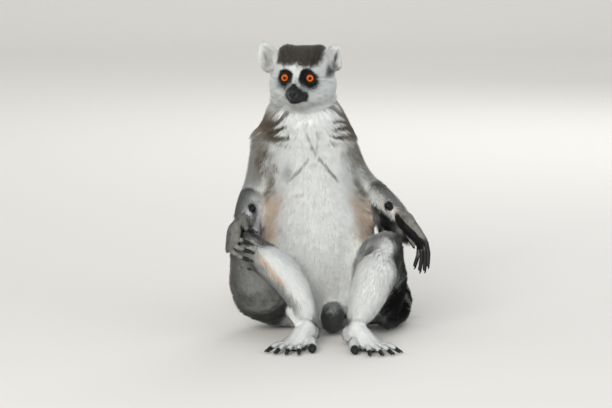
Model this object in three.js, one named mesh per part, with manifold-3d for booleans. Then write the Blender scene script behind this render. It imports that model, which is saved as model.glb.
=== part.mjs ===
// A life-size ring-tailed lemur that sits upright on its rump with its belly to the sun: knees out,
// feet together in front, the right hand round the right knee, the left forearm over the left knee
// with the hand hanging, and the ringed tail laid in a loop behind. Every solid reaches to the tips
// of the coat. Millimetres, +Z up, and the animal faces -Y, so its own right side is at -X.
import * as THREE from "three";
import { mergeVertices } from "three/addons/utils/BufferGeometryUtils.js";
import Module from "manifold-3d";

const wasm = await Module();
wasm.setup();

// ---- Driving dimensions ----------------------------------------------------------------------

const GAP = 0.4; // clear space between neighbouring solids
const FLOOR = 0; // the level that rump, haunches, feet and tail rest on

const HEAD = {
  centre: new THREE.Vector3(-18.2, -8, 306.5),
  turn: THREE.MathUtils.degToRad(-12), // the face looks a little to the animal's right
  nod: THREE.MathUtils.degToRad(8),
  eyeSpread: 14.4, // from the midline to the middle of each eyeball
  eyeRadius: 8.4,
  eyeForward: 27.5,
  eyeUp: 4,
  noseForward: 65,
  noseUp: -10.5,
  // The middle of each ear; the animal holds them a little to its right.
  earOut: { right: 39.3, left: 33.4 },
  earUp: { right: 18.8, left: 17.2 },
};

// Places of the joints of each side; the pose isn't symmetric.
const RIGHT = {
  side: -1,
  shoulder: new THREE.Vector3(-57, 0, 226),
  elbow: new THREE.Vector3(-74, 38, 163),
  wrist: new THREE.Vector3(-90, -56, 136),
  hip: new THREE.Vector3(-40, 16, 44),
  haunch: new THREE.Vector3(-66, -22, 52),
  knee: new THREE.Vector3(-83, -72, 108),
  ankle: new THREE.Vector3(-14, -104, 26),
  footTurn: THREE.MathUtils.degToRad(-24),
  stout: 0.94,
  thighBow: new THREE.Vector3(1, 0, 2),
  calfBow: new THREE.Vector3(10, -1, 10),
  glandWay: new THREE.Vector3(0.66, -0.31, 0.69),
};
const LEFT = {
  side: 1,
  shoulder: new THREE.Vector3(21, 0, 228),
  elbow: new THREE.Vector3(54, 40, 168),
  wrist: new THREE.Vector3(103, -44, 138),
  hip: new THREE.Vector3(40, 16, 44),
  haunch: new THREE.Vector3(68, -22, 51),
  knee: new THREE.Vector3(80, -72, 109),
  ankle: new THREE.Vector3(44, -112, 26),
  footTurn: THREE.MathUtils.degToRad(29),
  stout: 1.12,
  thighBow: new THREE.Vector3(-3, 0, 7),
  calfBow: new THREE.Vector3(0, -1, 1),
  glandWay: new THREE.Vector3(-0.59, -0.56, 0.59),
};

// Half thicknesses of the limbs, coat included.
const ARM = { shoulder: 26.5, upper: 21, elbow: 19, fore: 18, wrist: 13 };
const LEG = { hip: 46, haunch: 41.5, thigh: 33, knee: 23, calf: 23.5, shin: 20.5, ankle: 13.5 };
const GLAND_ALONG = 0.78; // how far down the forearm the gland lies
const FINGER = 3.6;
const TOE = 3.9;

// The trunk from rump to neck: height, sideways and backward place, half width and half depth.
const TRUNK = [
  { z: -14, x: 0, y: 34, wide: 46, deep: 40 },
  { z: 20, x: 0, y: 32, wide: 60, deep: 53 },
  { z: 57, x: -2, y: 22, wide: 65, deep: 61 },
  { z: 99, x: -1, y: 13, wide: 72, deep: 64 },
  { z: 135, x: -2, y: 10, wide: 69, deep: 61 },
  { z: 169, x: -6, y: 12, wide: 56, deep: 54 },
  { z: 201, x: -10, y: 13, wide: 49, deep: 48 },
  { z: 231, x: -14, y: 10, wide: 53, deep: 42 },
  { z: 258, x: -16, y: 8, wide: 49, deep: 38 },
];
const WAIST = 148; // where the trunk is parted into chest and belly
const NECK_BASE = 240; // and where the neck begins

// The neck with its ruff, from the shoulders to behind the jaw.
const NECK = [
  { z: 228, x: -14.5, y: 10, wide: 53, deep: 42 },
  { z: 243, x: -15.5, y: 7.5, wide: 55, deep: 41 },
  { z: 262, x: -17, y: 3, wide: 47.5, deep: 37 },
  { z: 282, x: -18, y: 0, wide: 40, deep: 33 },
  { z: 302, x: -19, y: -2, wide: 32, deep: 29 },
];

// The tail: it leaves the rump, lies down and closes a loop behind the body.
const TAIL = [
  { x: 0, y: 62, z: 44, thick: 17 },
  { x: -16, y: 100, z: 25, thick: 18 },
  { x: -52, y: 140, z: 19.5, thick: 20 },
  { x: -72, y: 192, z: 21, thick: 21.5 },
  { x: -52, y: 244, z: 22, thick: 22.5 },
  { x: 0, y: 264, z: 23, thick: 23.5 },
  { x: 50, y: 240, z: 24, thick: 24.5 },
  { x: 76, y: 192, z: 24.5, thick: 25 },
  { x: 88, y: 138, z: 24.5, thick: 25 },
  { x: 97, y: 86, z: 22.5, thick: 23 },
  { x: 98, y: 42, z: 19, thick: 19.5 },
  { x: 94, y: 4, z: 16.5, thick: 17 },
  { x: 84, y: -26, z: 13, thick: 13 },
];
const TAIL_LENGTHS = 5;

// Colours of the coat and skin.
const WHITE_COAT = 0xdfe2e0;
const GREY_COAT = 0x8f8c89;
const BROWN_GREY_COAT = 0x77706a;
const DARK_COAT = 0x3a3735;
const BLACK_SKIN = 0x1c1a1b;
const ORANGE_IRIS = 0xd9640f;

// ---- Solids ----------------------------------------------------------------------------------

const { Vector3, Matrix4, Quaternion } = THREE;
const X = new Vector3(1, 0, 0);
const Z = new Vector3(0, 0, 1);

const solidOf = (geometry) => {
  for (const name of Object.keys(geometry.attributes))
    if (name !== "position") geometry.deleteAttribute(name);
  const merged = mergeVertices(geometry, 1e-4);
  return new wasm.Manifold(
    new wasm.Mesh({
      numProp: 3,
      vertProperties: merged.attributes.position.array,
      triVerts: new Uint32Array(merged.index.array),
    }),
  );
};

const largest = (solid) =>
  solid.decompose().reduce((best, s) => (s.volume() > best.volume() ? s : best));

const block = (low, high) =>
  solidOf(
    new THREE.BoxGeometry(high.x - low.x, high.y - low.y, high.z - low.z).translate(
      ...new Vector3().addVectors(low, high).multiplyScalar(0.5).toArray(),
    ),
  );
const UNDER_FLOOR = block(new Vector3(-500, -500, -200), new Vector3(500, 500, FLOOR));

// A body with round ends swept along a smooth line. Each station holds its place and how wide and
// deep the body is there; `across` is the way that its width runs.
function swept(stations, { sides = 14, steps = 2, across = X, grow = 0, blunt = 1, caps = [40] } = {}) {
  const line = new THREE.CatmullRomCurve3(stations.map((s) => s.at), false, "catmullrom", 0.5);
  const sizes = new THREE.CatmullRomCurve3(
    stations.map((s) => new Vector3(s.wide + grow, (s.deep ?? s.wide) + grow, 0)),
    false, "catmullrom", 0.5,
  );
  const count = (stations.length - 1) * steps;
  const rings = [];
  const frameAt = (t) => {
    const ahead = line.getTangent(t);
    const side = across.clone().addScaledVector(ahead, -across.dot(ahead)).normalize();
    return { ahead, side, depth: new Vector3().crossVectors(ahead, side) };
  };
  const ring = (t, shrink, along) => {
    const { ahead, side, depth } = frameAt(t);
    const size = sizes.getPoint(t);
    const middle = line.getPoint(t).addScaledVector(ahead, along);
    return Array.from({ length: sides }, (_, i) => {
      const angle = (2 * Math.PI * i) / sides;
      return middle.clone()
        .addScaledVector(side, size.x * shrink * Math.cos(angle))
        .addScaledVector(depth, size.y * shrink * Math.sin(angle));
    });
  };
  const capReach = (t) => blunt * Math.min(sizes.getPoint(t).x, sizes.getPoint(t).y);
  const capAngles = caps.map(THREE.MathUtils.degToRad);
  for (const a of capAngles) rings.push(ring(0, Math.cos(a), -capReach(0) * Math.sin(a)));
  for (let i = 0; i <= count; i++) rings.push(ring(i / count, 1, 0));
  for (const a of capAngles.reverse()) rings.push(ring(1, Math.cos(a), capReach(1) * Math.sin(a)));
  const firstPole = line.getPoint(0).addScaledVector(line.getTangent(0), -capReach(0));
  const lastPole = line.getPoint(1).addScaledVector(line.getTangent(1), capReach(1));
  return closedTube(rings, firstPole, lastPole);
}

// A closed skin over rings of equal count, each end gathered to a pole.
function closedTube(rings, firstPole, lastPole) {
  const sides = rings[0].length;
  const points = [firstPole, ...rings.flat(), lastPole];
  const at = (r, i) => 1 + r * sides + (i % sides);
  const last = points.length - 1;
  const index = [];
  for (let i = 0; i < sides; i++) {
    index.push(0, at(0, i + 1), at(0, i));
    index.push(last, at(rings.length - 1, i), at(rings.length - 1, i + 1));
    for (let r = 0; r + 1 < rings.length; r++) {
      index.push(at(r, i), at(r, i + 1), at(r + 1, i + 1));
      index.push(at(r, i), at(r + 1, i + 1), at(r + 1, i));
    }
  }
  const geometry = new THREE.BufferGeometry().setFromPoints(points);
  geometry.setIndex(index);
  return solidOf(geometry);
}

const ellipsoid = (centre, radii, { turn = new Quaternion(), detail = 12, grow = 0 } = {}) => {
  const sphere = new THREE.SphereGeometry(1, detail, Math.round(detail * 0.75));
  const size = new Vector3(radii.x + grow, radii.y + grow, radii.z + grow);
  return solidOf(sphere.applyMatrix4(new Matrix4().compose(centre, turn, size)));
};

const between = (a, b, t) => new Vector3().lerpVectors(a, b, t);
const stationsOf = (rows) => rows.map((r) => ({ at: new Vector3(r.x, r.y, r.z), wide: r.wide, deep: r.deep }));

// ---- Head ------------------------------------------------------------------------------------

// The head's own frame: x to the animal's left, y back, z up, origin between the ears.
const headFrame = new Matrix4().compose(
  HEAD.centre,
  new Quaternion().setFromEuler(new THREE.Euler(HEAD.nod, 0, HEAD.turn, "ZXY")),
  new Vector3(1, 1, 1),
);
const headTurn = new Quaternion().setFromRotationMatrix(headFrame);
const inHead = (x, y, z) => new Vector3(x, y, z).applyMatrix4(headFrame);

// Distance-like values of round forms, negative inside, and their blends.
const roundForm = (p, centre, radii) => {
  const q = p.clone().sub(centre);
  const scaled = q.clone().divide(radii);
  return (scaled.length() * (scaled.length() - 1)) / scaled.divide(radii).length();
};
const roundCone = (p, a, ra, b, rb) => {
  const axis = b.clone().sub(a);
  const t = THREE.MathUtils.clamp(p.clone().sub(a).dot(axis) / axis.lengthSq(), 0, 1);
  return p.distanceTo(a.clone().addScaledVector(axis, t)) - (ra + (rb - ra) * t);
};
const blendIn = (a, b, k) => {
  const h = Math.max(k - Math.abs(a - b), 0) / k;
  return Math.min(a, b) - (h * h * k) / 4;
};
const hollowOut = (a, b, k) => -blendIn(-a, b, k);

const HEAD_FORMS = {
  skull: [new Vector3(0, 5, 2), new Vector3(34.5, 39, 33)],
  brow: [new Vector3(0, -14, 12), new Vector3(27, 22, 14)],
  crown: [new Vector3(12.5, 1, 16), new Vector3(17, 28, 19)],
  cheek: [new Vector3(20.5, -2, -11.5), new Vector3(20.5, 27, 21.5)],
  throat: [new Vector3(0, -6, -20), new Vector3(29, 28, 16)],
  muzzle: [new Vector3(0, -26, -8), 17, new Vector3(0, -HEAD.noseForward + 8, HEAD.noseUp - 0.5), 7.6],
  chin: [new Vector3(0, -20, -18), 13, new Vector3(0, -52, -18.5), 6.2],
};

function headForm(p) {
  const mirrored = new Vector3(Math.abs(p.x), p.y, p.z);
  let d = roundForm(p, ...HEAD_FORMS.skull);
  d = blendIn(d, roundForm(p, ...HEAD_FORMS.brow), 8);
  d = blendIn(d, roundForm(mirrored, ...HEAD_FORMS.crown), 5);
  d = blendIn(d, roundForm(mirrored, ...HEAD_FORMS.cheek), 8);
  d = blendIn(d, roundForm(p, ...HEAD_FORMS.throat), 8);
  d = blendIn(d, roundCone(p, ...HEAD_FORMS.muzzle), 7);
  d = blendIn(d, roundCone(p, ...HEAD_FORMS.chin), 5);
  const socket = new Vector3(HEAD.eyeSpread + 0.5, -HEAD.eyeForward - 9, HEAD.eyeUp);
  return hollowOut(d, mirrored.distanceTo(socket) - 6.5, 6);
}

// The head seen from its middle is a star shape, so each direction of a fine globe is followed
// outwards until it leaves the form.
function wholeHead({ detail = 6, grow = 0 } = {}) {
  const start = new Vector3(0, -10, -6);
  const globe = new THREE.IcosahedronGeometry(1, detail);
  globe.deleteAttribute("normal");
  globe.deleteAttribute("uv");
  const skin = mergeVertices(globe, 1e-4);
  const places = skin.attributes.position;
  for (let i = 0; i < places.count; i++) {
    const way = new Vector3().fromBufferAttribute(places, i).normalize();
    let inside = 0;
    let outside = 90;
    for (let n = 0; n < 24; n++) {
      const middle = (inside + outside) / 2;
      if (headForm(start.clone().addScaledVector(way, middle)) < 0) inside = middle;
      else outside = middle;
    }
    const p = start.clone().addScaledVector(way, inside + grow).applyMatrix4(headFrame);
    places.setXYZ(i, p.x, p.y, p.z);
  }
  return solidOf(skin);
}

const headSlab = (low, high) => {
  const size = new Vector3().subVectors(high, low);
  const box = new THREE.BoxGeometry(size.x, size.y, size.z);
  box.translate(...new Vector3().addVectors(low, high).multiplyScalar(0.5).toArray());
  return solidOf(box.applyMatrix4(headFrame));
};

const eyeball = (side, grow = 0) =>
  ellipsoid(
    inHead(side * HEAD.eyeSpread, -HEAD.eyeForward, HEAD.eyeUp),
    new Vector3(1, 1, 1).multiplyScalar(HEAD.eyeRadius),
    { turn: headTurn, detail: 10, grow },
  );

const nosePad = (grow = 0) =>
  ellipsoid(inHead(0, -HEAD.noseForward + 5.5, HEAD.noseUp + 0.8), new Vector3(6, 5.5, 5), {
    turn: headTurn, detail: 7, grow,
  });

// The nose pad with its two comma-shaped nostrils.
function nose() {
  let pad = nosePad();
  for (const side of [-1, 1])
    pad = pad.subtract(
      ellipsoid(inHead(side * 3.6, -HEAD.noseForward + 0.6, HEAD.noseUp + 0.2), new Vector3(1.5, 2.6, 1.1), {
        turn: headTurn, detail: 6,
      }),
    );
  return pad;
}

// An ear is a leaf-shaped cup, its hollow turned forwards and a little outwards.
function ear(side, grow = 0) {
  const HIGH = 19, WIDE = 13.5, DEEP = 8, WALL = 2.4;
  const leaf = (inset, forward) => {
    const shape = new THREE.SphereGeometry(1, 9, 7).rotateX(Math.PI / 2);
    const places = shape.attributes.position;
    for (let i = 0; i < places.count; i++) {
      const up = places.getZ(i);
      const narrow = up > 0 ? 1 - 0.36 * up : 1 + 0.04 * up;
      places.setXYZ(
        i,
        places.getX(i) * (WIDE - inset + grow) * narrow + 2.2 * up * up * Math.sign(up),
        places.getY(i) * (DEEP - inset * 0.5 + grow) - forward,
        up * (HIGH - inset + grow),
      );
    }
    const lean = new THREE.Euler(-0.12, 0.3, 0.3, "ZYX");
    shape.applyMatrix4(new Matrix4().makeRotationFromEuler(lean));
    const name = side < 0 ? "right" : "left";
    shape.translate(HEAD.earOut[name], 0, HEAD.earUp[name]);
    if (side < 0) {
      shape.scale(-1, 1, 1);
      const turned = shape.index.array;
      for (let i = 0; i < turned.length; i += 3) [turned[i], turned[i + 1]] = [turned[i + 1], turned[i]];
    }
    return solidOf(shape.applyMatrix4(headFrame));
  };
  const cup = leaf(0, 0);
  return grow ? cup : cup.subtract(leaf(WALL, 5.5));
}

// ---- Trunk, neck and tail ----------------------------------------------------------------------

const trunk = (grow = 0) => swept(stationsOf(TRUNK), { sides: 15, steps: 2, grow, blunt: 0.5 });
const neck = (grow = 0) => swept(stationsOf(NECK), { sides: 15, steps: 1, grow, blunt: 0.5 });

const tailRows = TAIL.map((s) => ({ at: new Vector3(s.x, s.y, s.z), wide: s.thick }));
const wholeTail = () => swept(tailRows, { sides: 8, steps: 2, across: Z });

// Thin upright walls across the tail, where it is parted into lengths.
function tailCuts() {
  const line = new THREE.CatmullRomCurve3(tailRows.map((s) => s.at), false, "catmullrom", 0.5);
  return Array.from({ length: TAIL_LENGTHS - 1 }, (_, i) => {
    const t = (i + 1) / TAIL_LENGTHS;
    const wall = new THREE.BoxGeometry(64, GAP, 90);
    const ahead = line.getTangent(t);
    const turn = new Quaternion().setFromUnitVectors(new Vector3(0, 1, 0), ahead.setZ(0).normalize());
    return solidOf(wall.applyMatrix4(new Matrix4().compose(line.getPoint(t), turn, new Vector3(1, 1, 1))));
  });
}

// The bare dark skin of a male at the crotch.
const crotch = (grow = 0) =>
  ellipsoid(new Vector3(17, -42, 21), new Vector3(15, 22, 21), { detail: 9, grow });

// ---- Arms --------------------------------------------------------------------------------------

const upperArm = (a, grow = 0) =>
  swept(
    [
      { at: a.shoulder, wide: ARM.shoulder, deep: ARM.shoulder },
      { at: between(a.shoulder, a.elbow, 0.5), wide: ARM.upper },
      { at: a.elbow, wide: ARM.elbow },
    ],
    { sides: 10, steps: 2, grow },
  );

const forearm = (a, grow = 0) =>
  swept(
    [
      { at: between(a.elbow, a.wrist, 0.06), wide: ARM.elbow, deep: ARM.elbow + 2 },
      { at: between(a.elbow, a.wrist, 0.45), wide: ARM.fore, deep: ARM.fore + 3.5 },
      { at: a.wrist, wide: ARM.wrist, deep: ARM.wrist - 1 },
    ],
    { sides: 10, steps: 2, grow },
  );

// The horny gland pad on the inner side of a male's forearm.
const gland = (a, grow = 0) =>
  ellipsoid(
    between(a.elbow, a.wrist, GLAND_ALONG).addScaledVector(a.glandWay, ARM.fore * 0.86),
    new Vector3(4.4, 4.4, 6.8),
    {
      turn: new Quaternion().setFromUnitVectors(Z, a.wrist.clone().sub(a.elbow).normalize()),
      detail: 7,
      grow,
    },
  );

const digit = (points, thick, grow, across = X) =>
  swept(
    points.map((at, i) => ({ at, wide: thick * (1 - 0.08 * i) })),
    { sides: 5, steps: 1, grow, across },
  );

// A point beside the right knee at an angle round it from straight ahead, and a height over it.
const besideKnee = (angle, up, away) =>
  RIGHT.knee.clone().add(new Vector3(Math.sin(angle) * away, -Math.cos(angle) * away, up));

// The right hand: the palm lies on the knee's outer side and four fingers bend round its front.
function claspingHand(grow = 0) {
  const away = LEG.knee + 1.5;
  const knuckles = besideKnee(-0.75, 9, away + 0.5);
  let hand = swept(
    [
      { at: between(RIGHT.elbow, RIGHT.wrist, 0.97), wide: ARM.wrist - 2, deep: ARM.wrist - 4 },
      { at: between(RIGHT.wrist, knuckles, 0.5).add(new Vector3(-3, -2, 3)), wide: 15, deep: 8.5 },
      { at: knuckles, wide: 17, deep: 6 },
    ],
    { sides: 10, steps: 1, across: new Vector3(0.35, 0.1, 1), grow },
  );
  for (let i = 0; i < 4; i++) {
    const up = 19.5 - 9.8 * i;
    const reach = [0.1, 0.16, 0.1, 0][i];
    const bend = [-0.8, -0.38, reach].map((angle, n) =>
      besideKnee(angle, up - 4.5 * n, away * (up > 15 ? 0.93 : 1) + (n === 1 ? 2.5 : 0)),
    );
    hand = hand.add(digit(bend, FINGER, grow, Z));
  }
  const thumb = [
    between(RIGHT.wrist, knuckles, 0.3).add(new Vector3(7, -2, 8)),
    besideKnee(-0.1, 27, 14),
    besideKnee(0.35, 24, 23),
  ];
  return hand.add(digit(thumb, FINGER, grow));
}

// The left hand: it hangs from the wrist beyond the knee, palm inwards, fingers a little bent.
function hangingHand(grow = 0) {
  const wrist = LEFT.wrist;
  const knuckles = wrist.clone().add(new Vector3(20, -18, -25));
  const across = new Vector3(0.35, -0.9, 0.25).normalize();
  const palmWay = new Vector3(-0.9, -0.3, 0).normalize();
  let hand = swept(
    [
      { at: between(LEFT.elbow, wrist, 0.97), wide: ARM.wrist - 2, deep: ARM.wrist - 3 },
      { at: between(wrist, knuckles, 0.55), wide: 13.5, deep: 8 },
      { at: knuckles, wide: 13.5, deep: 5.5 },
    ],
    { sides: 10, steps: 1, across, grow },
  );
  for (let i = 0; i < 4; i++) {
    const spread = 10.4 - 7.1 * i;
    const long = [27, 31, 30, 24][i];
    const root = knuckles.clone().addScaledVector(across, spread);
    const down = new Vector3(0.2 + 0.012 * spread, -0.22, -0.96).normalize();
    const points = [0, 0.5, 1].map((t) =>
      root.clone().addScaledVector(down, long * t).addScaledVector(palmWay, 7 * t * t),
    );
    hand = hand.add(digit(points, FINGER, grow));
  }
  const thumb = [
    between(wrist, knuckles, 0.25).addScaledVector(palmWay, 4).addScaledVector(across, -6),
    between(wrist, knuckles, 0.62).addScaledVector(palmWay, 8).addScaledVector(across, -8),
    between(wrist, knuckles, 1).addScaledVector(palmWay, 9).addScaledVector(across, -8),
  ];
  return hand.add(digit(thumb, FINGER, grow));
}

// ---- Legs --------------------------------------------------------------------------------------

const thigh = (l, grow = 0) =>
  swept(
    [
      { at: l.hip, wide: LEG.hip, deep: LEG.hip },
      { at: l.haunch, wide: LEG.haunch },
      { at: between(l.haunch, l.knee, 0.55).add(l.thighBow), wide: LEG.thigh },
      { at: l.knee, wide: LEG.knee },
    ],
    { sides: 13, steps: 2, grow },
  );

const shank = (l, grow = 0) =>
  swept(
    [
      { at: between(l.knee, l.ankle, 0.04), wide: LEG.knee - 1 },
      { at: between(l.knee, l.ankle, 0.35).add(l.calfBow), wide: LEG.calf * l.stout },
      { at: between(l.knee, l.ankle, 0.7).add(l.calfBow), wide: LEG.shin * l.stout },
      { at: l.ankle, wide: LEG.ankle },
    ],
    { sides: 12, steps: 2, grow },
  );

// A foot flat on the floor: heel, instep and ball in one body, four toes and the thick great toe.
function foot(l, grow = 0) {
  const ahead = new Vector3(Math.sin(l.footTurn), -Math.cos(l.footTurn), 0);
  const inward = new Vector3(-l.side * Math.cos(l.footTurn), -l.side * Math.sin(l.footTurn), 0);
  const place = (forward, toInner, up) =>
    l.ankle.clone().setZ(up).addScaledVector(ahead, forward).addScaledVector(inward, toInner);
  let made = swept(
    [
      { at: place(-14, 0, 12), wide: 10.5, deep: 12 },
      { at: place(2, 0, 16), wide: 12.5, deep: 16.5 },
      { at: place(22, 1, 10.5), wide: 12.5, deep: 12 },
      { at: place(40, 0, 6.5), wide: 14.5, deep: 8 },
    ],
    { sides: 10, steps: 1, across: inward, grow, blunt: 0.9 },
  );
  for (let i = 0; i < 4; i++) {
    const toInner = 9.6 - 6.6 * i;
    const long = [19, 24, 25, 20][i];
    const points = [
      place(34, toInner * 0.95, 7.5),
      place(44 + long * 0.45, toInner * 1.45, 8.2),
      place(44 + long, toInner * 1.95, 3.4),
    ];
    made = made.add(digit(points, TOE, grow, inward));
  }
  const greatToe = [place(10, 6, 10), place(25, 18, 9), place(44, 27, 5)];
  return made.add(
    swept(greatToe.map((at, i) => ({ at, wide: 7.2 - 0.9 * i })), {
      sides: 7, steps: 1, grow, across: inward,
    }),
  );
}

// ---- The animal, part by part --------------------------------------------------------------------

const carve = (solid, ...tools) => largest(tools.reduce((left, tool) => left.subtract(tool), solid));

const head = wholeHead().subtract(eyeball(-1, GAP)).subtract(eyeball(1, GAP));
const MUZZLE_START = 43;
const MOUTH_LINE = -17.2;
const muzzleBlock = headSlab(new Vector3(-40, -90, -60), new Vector3(40, -MUZZLE_START, 30));
const muzzleWall = headSlab(new Vector3(-40, -MUZZLE_START, -60), new Vector3(40, -MUZZLE_START + GAP, 30));
const mouthSlab = headSlab(new Vector3(-40, -90, MOUTH_LINE - GAP), new Vector3(40, -30, MOUTH_LINE));
const jawBlock = headSlab(new Vector3(-40, -90, -60), new Vector3(40, -30, MOUTH_LINE));
const snout = head.intersect(muzzleBlock);

const wholeTrunk = trunk().subtract(UNDER_FLOOR);
const waistSlab = block(new Vector3(-200, -200, WAIST), new Vector3(200, 200, WAIST + GAP));
const aboveWaist = block(new Vector3(-200, -200, WAIST), new Vector3(200, 200, 400));
const belowNeck = block(new Vector3(-200, -200, -100), new Vector3(200, 200, NECK_BASE));
const neckSlab = block(new Vector3(-200, -200, NECK_BASE), new Vector3(200, 200, NECK_BASE + GAP));
const sides = { right: RIGHT, left: LEFT };
const hands = { right: claspingHand, left: hangingHand };

const solids = new Map();
const keep = (name, solid, colour, roughness = 0.85) => solids.set(name, { solid, colour, roughness });

keep("head", carve(head, muzzleBlock, muzzleWall), WHITE_COAT);
keep("muzzle", carve(snout, jawBlock, nosePad(GAP)), BLACK_SKIN, 0.6);
keep("jaw", carve(snout.intersect(jawBlock), mouthSlab, nosePad(GAP)), BLACK_SKIN, 0.6);
keep("nose", carve(nose(), jawBlock), BLACK_SKIN, 0.35);
keep("neck", carve(neck(), belowNeck, neckSlab, wholeHead({ detail: 4, grow: 1 })), WHITE_COAT);
keep("chest", carve(wholeTrunk.intersect(aboveWaist).intersect(belowNeck), waistSlab), WHITE_COAT);
keep("belly", carve(wholeTrunk, aboveWaist), WHITE_COAT);

for (const [name, limb] of Object.entries(sides)) {
  keep(`eye_${name}`, eyeball(limb.side), ORANGE_IRIS, 0.1);
  keep(`ear_${name}`, carve(ear(limb.side), wholeHead()), WHITE_COAT);
  const hand = hands[name];
  keep(`upper_arm_${name}`, carve(upperArm(limb), trunk(GAP), neck(GAP)), BROWN_GREY_COAT);
  keep(`forearm_${name}`, carve(forearm(limb), upperArm(limb, GAP), trunk(GAP), hand(GAP), gland(limb, GAP)), GREY_COAT);
  keep(`hand_${name}`, carve(hand(), trunk(GAP), thigh(limb, GAP), shank(limb, GAP)), BLACK_SKIN, 0.6);
  keep(`wrist_gland_${name}`, carve(gland(limb), hand(GAP)), BLACK_SKIN, 0.3);
  keep(
    `thigh_${name}`,
    carve(thigh(limb), UNDER_FLOOR, trunk(GAP), forearm(limb, GAP)),
    GREY_COAT,
  );
  keep(
    `shank_${name}`,
    carve(shank(limb), thigh(limb, GAP), trunk(GAP), forearm(limb, GAP), foot(limb, GAP)),
    WHITE_COAT,
  );
  keep(`foot_${name}`, carve(foot(limb), UNDER_FLOOR), WHITE_COAT);
}
keep(
  "crotch",
  carve(crotch(), UNDER_FLOOR, trunk(GAP), ...Object.values(sides).flatMap((l) => [thigh(l, GAP), shank(l, GAP), foot(l, GAP)])),
  BLACK_SKIN,
);

const tail = carve(wholeTail(), UNDER_FLOOR, trunk(GAP), thigh(LEFT, GAP), thigh(RIGHT, GAP));
const tailPieces = tailCuts().reduce((left, cut) => left.subtract(cut), tail).decompose();
const tailLine = new THREE.CatmullRomCurve3(tailRows.map((s) => s.at), false, "catmullrom", 0.5);
const alongTail = (piece) => {
  const box = piece.boundingBox();
  const middle = between(new Vector3(...box.min), new Vector3(...box.max), 0.5);
  const marks = Array.from({ length: 101 }, (_, i) => i / 100);
  return marks.reduce((best, t) =>
    tailLine.getPoint(t).distanceTo(middle) < tailLine.getPoint(best).distanceTo(middle) ? t : best);
};
tailPieces
  .sort((a, b) => alongTail(a) - alongTail(b))
  .forEach((piece, i) => keep(`tail_${i + 1}`, piece, i % 2 ? DARK_COAT : WHITE_COAT));

// ---- Scene ---------------------------------------------------------------------------------------

const lemur = new THREE.Group();
for (const [name, { solid, colour, roughness }] of solids) {
  const made = solid.getMesh();
  const geometry = new THREE.BufferGeometry();
  geometry.setAttribute("position", new THREE.BufferAttribute(Float32Array.from(made.vertProperties), 3));
  geometry.setIndex(new THREE.BufferAttribute(Uint32Array.from(made.triVerts), 1));
  geometry.computeVertexNormals();
  const mesh = new THREE.Mesh(geometry, new THREE.MeshStandardMaterial({ color: colour, roughness, metalness: 0 }));
  mesh.name = name;
  lemur.add(mesh);
}

// The origin is on the floor, in the middle of the whole outline.
const outline = new THREE.Box3().setFromObject(lemur);
const middle = outline.getCenter(new Vector3());
lemur.position.set(-middle.x, -middle.y, -outline.min.z);

export default lemur;
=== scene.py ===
"""A life-size ring-tailed lemur as a museum shows it: sitting upright with its belly to the sun,
knees out, feet together, arms on its knees and the ringed tail curled round behind.

One modelled skin takes the place of the flesh, glass eyes sit in it, and the coat is made of small
solid locks of hair that grow from the skin along the lie of a real coat."""

import math

import bpy
import bmesh
import numpy as np
import openvdb
from mathutils import Matrix, Vector


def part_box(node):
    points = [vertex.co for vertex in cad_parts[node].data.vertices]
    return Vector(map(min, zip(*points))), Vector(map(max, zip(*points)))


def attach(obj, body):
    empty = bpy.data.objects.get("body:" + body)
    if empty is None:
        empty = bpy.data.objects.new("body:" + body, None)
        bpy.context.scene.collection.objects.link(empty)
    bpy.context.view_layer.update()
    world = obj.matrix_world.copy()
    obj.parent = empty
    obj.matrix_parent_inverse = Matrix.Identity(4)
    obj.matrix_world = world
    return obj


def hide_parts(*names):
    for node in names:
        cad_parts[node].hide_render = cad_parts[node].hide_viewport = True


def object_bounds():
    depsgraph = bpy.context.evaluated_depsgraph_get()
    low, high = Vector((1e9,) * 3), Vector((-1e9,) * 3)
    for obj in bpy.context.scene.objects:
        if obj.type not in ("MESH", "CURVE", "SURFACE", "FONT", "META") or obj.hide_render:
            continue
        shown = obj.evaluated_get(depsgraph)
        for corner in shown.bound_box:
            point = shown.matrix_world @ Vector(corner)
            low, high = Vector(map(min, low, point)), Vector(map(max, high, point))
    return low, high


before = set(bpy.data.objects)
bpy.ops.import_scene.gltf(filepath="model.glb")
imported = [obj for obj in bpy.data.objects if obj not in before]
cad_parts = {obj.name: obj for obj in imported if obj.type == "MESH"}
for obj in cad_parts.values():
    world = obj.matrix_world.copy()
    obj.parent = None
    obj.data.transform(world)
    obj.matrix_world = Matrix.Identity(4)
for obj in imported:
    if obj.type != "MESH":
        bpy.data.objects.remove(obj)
cad_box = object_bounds()
MM = 0.001


# ---- Studio -------------------------------------------------------------------------------------
# A pale floor that runs up into a pale backdrop far behind, a broad soft lamp over the camera's left
# shoulder, weak ones from the right and from behind, one for the backdrop, and a bright room
# around. The camera looks at the animal's front from a little above.

VIEW_AIM = Vector((-26.5, -55.3, 151.5)) * MM
VIEW_RISE = math.radians(8)
VIEW_DISTANCE = 3.0
VIEW_WIDTH = 734.4 * MM  # what the frame takes in at the aim
FLOOR_COLOUR = "#E6E4E0"
SENSOR = 36.0
FLOOR_REACH, BACKDROP_AWAY, BACKDROP_BEND = 6.0, 4.2, 0.8  # metres, the bend as a radius


def linear(code):
    """An sRGB hex colour as linear RGBA."""
    parts = [int(code[i : i + 2], 16) / 255 for i in (1, 3, 5)]
    return [c / 12.92 if c <= 0.04045 else ((c + 0.055) / 1.055) ** 2.4 for c in parts] + [1.0]


def add_node(tree, kind, inputs=None, **settings):
    """Adds a node, with its settings, and its inputs as values or as links from other nodes."""
    made = tree.nodes.new(kind)
    for name, value in settings.items():
        setattr(made, name, value)
    for name, value in (inputs or {}).items():
        if isinstance(value, bpy.types.NodeSocket):
            tree.links.new(value, made.inputs[name])
        else:
            made.inputs[name].default_value = value
    return made


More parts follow.
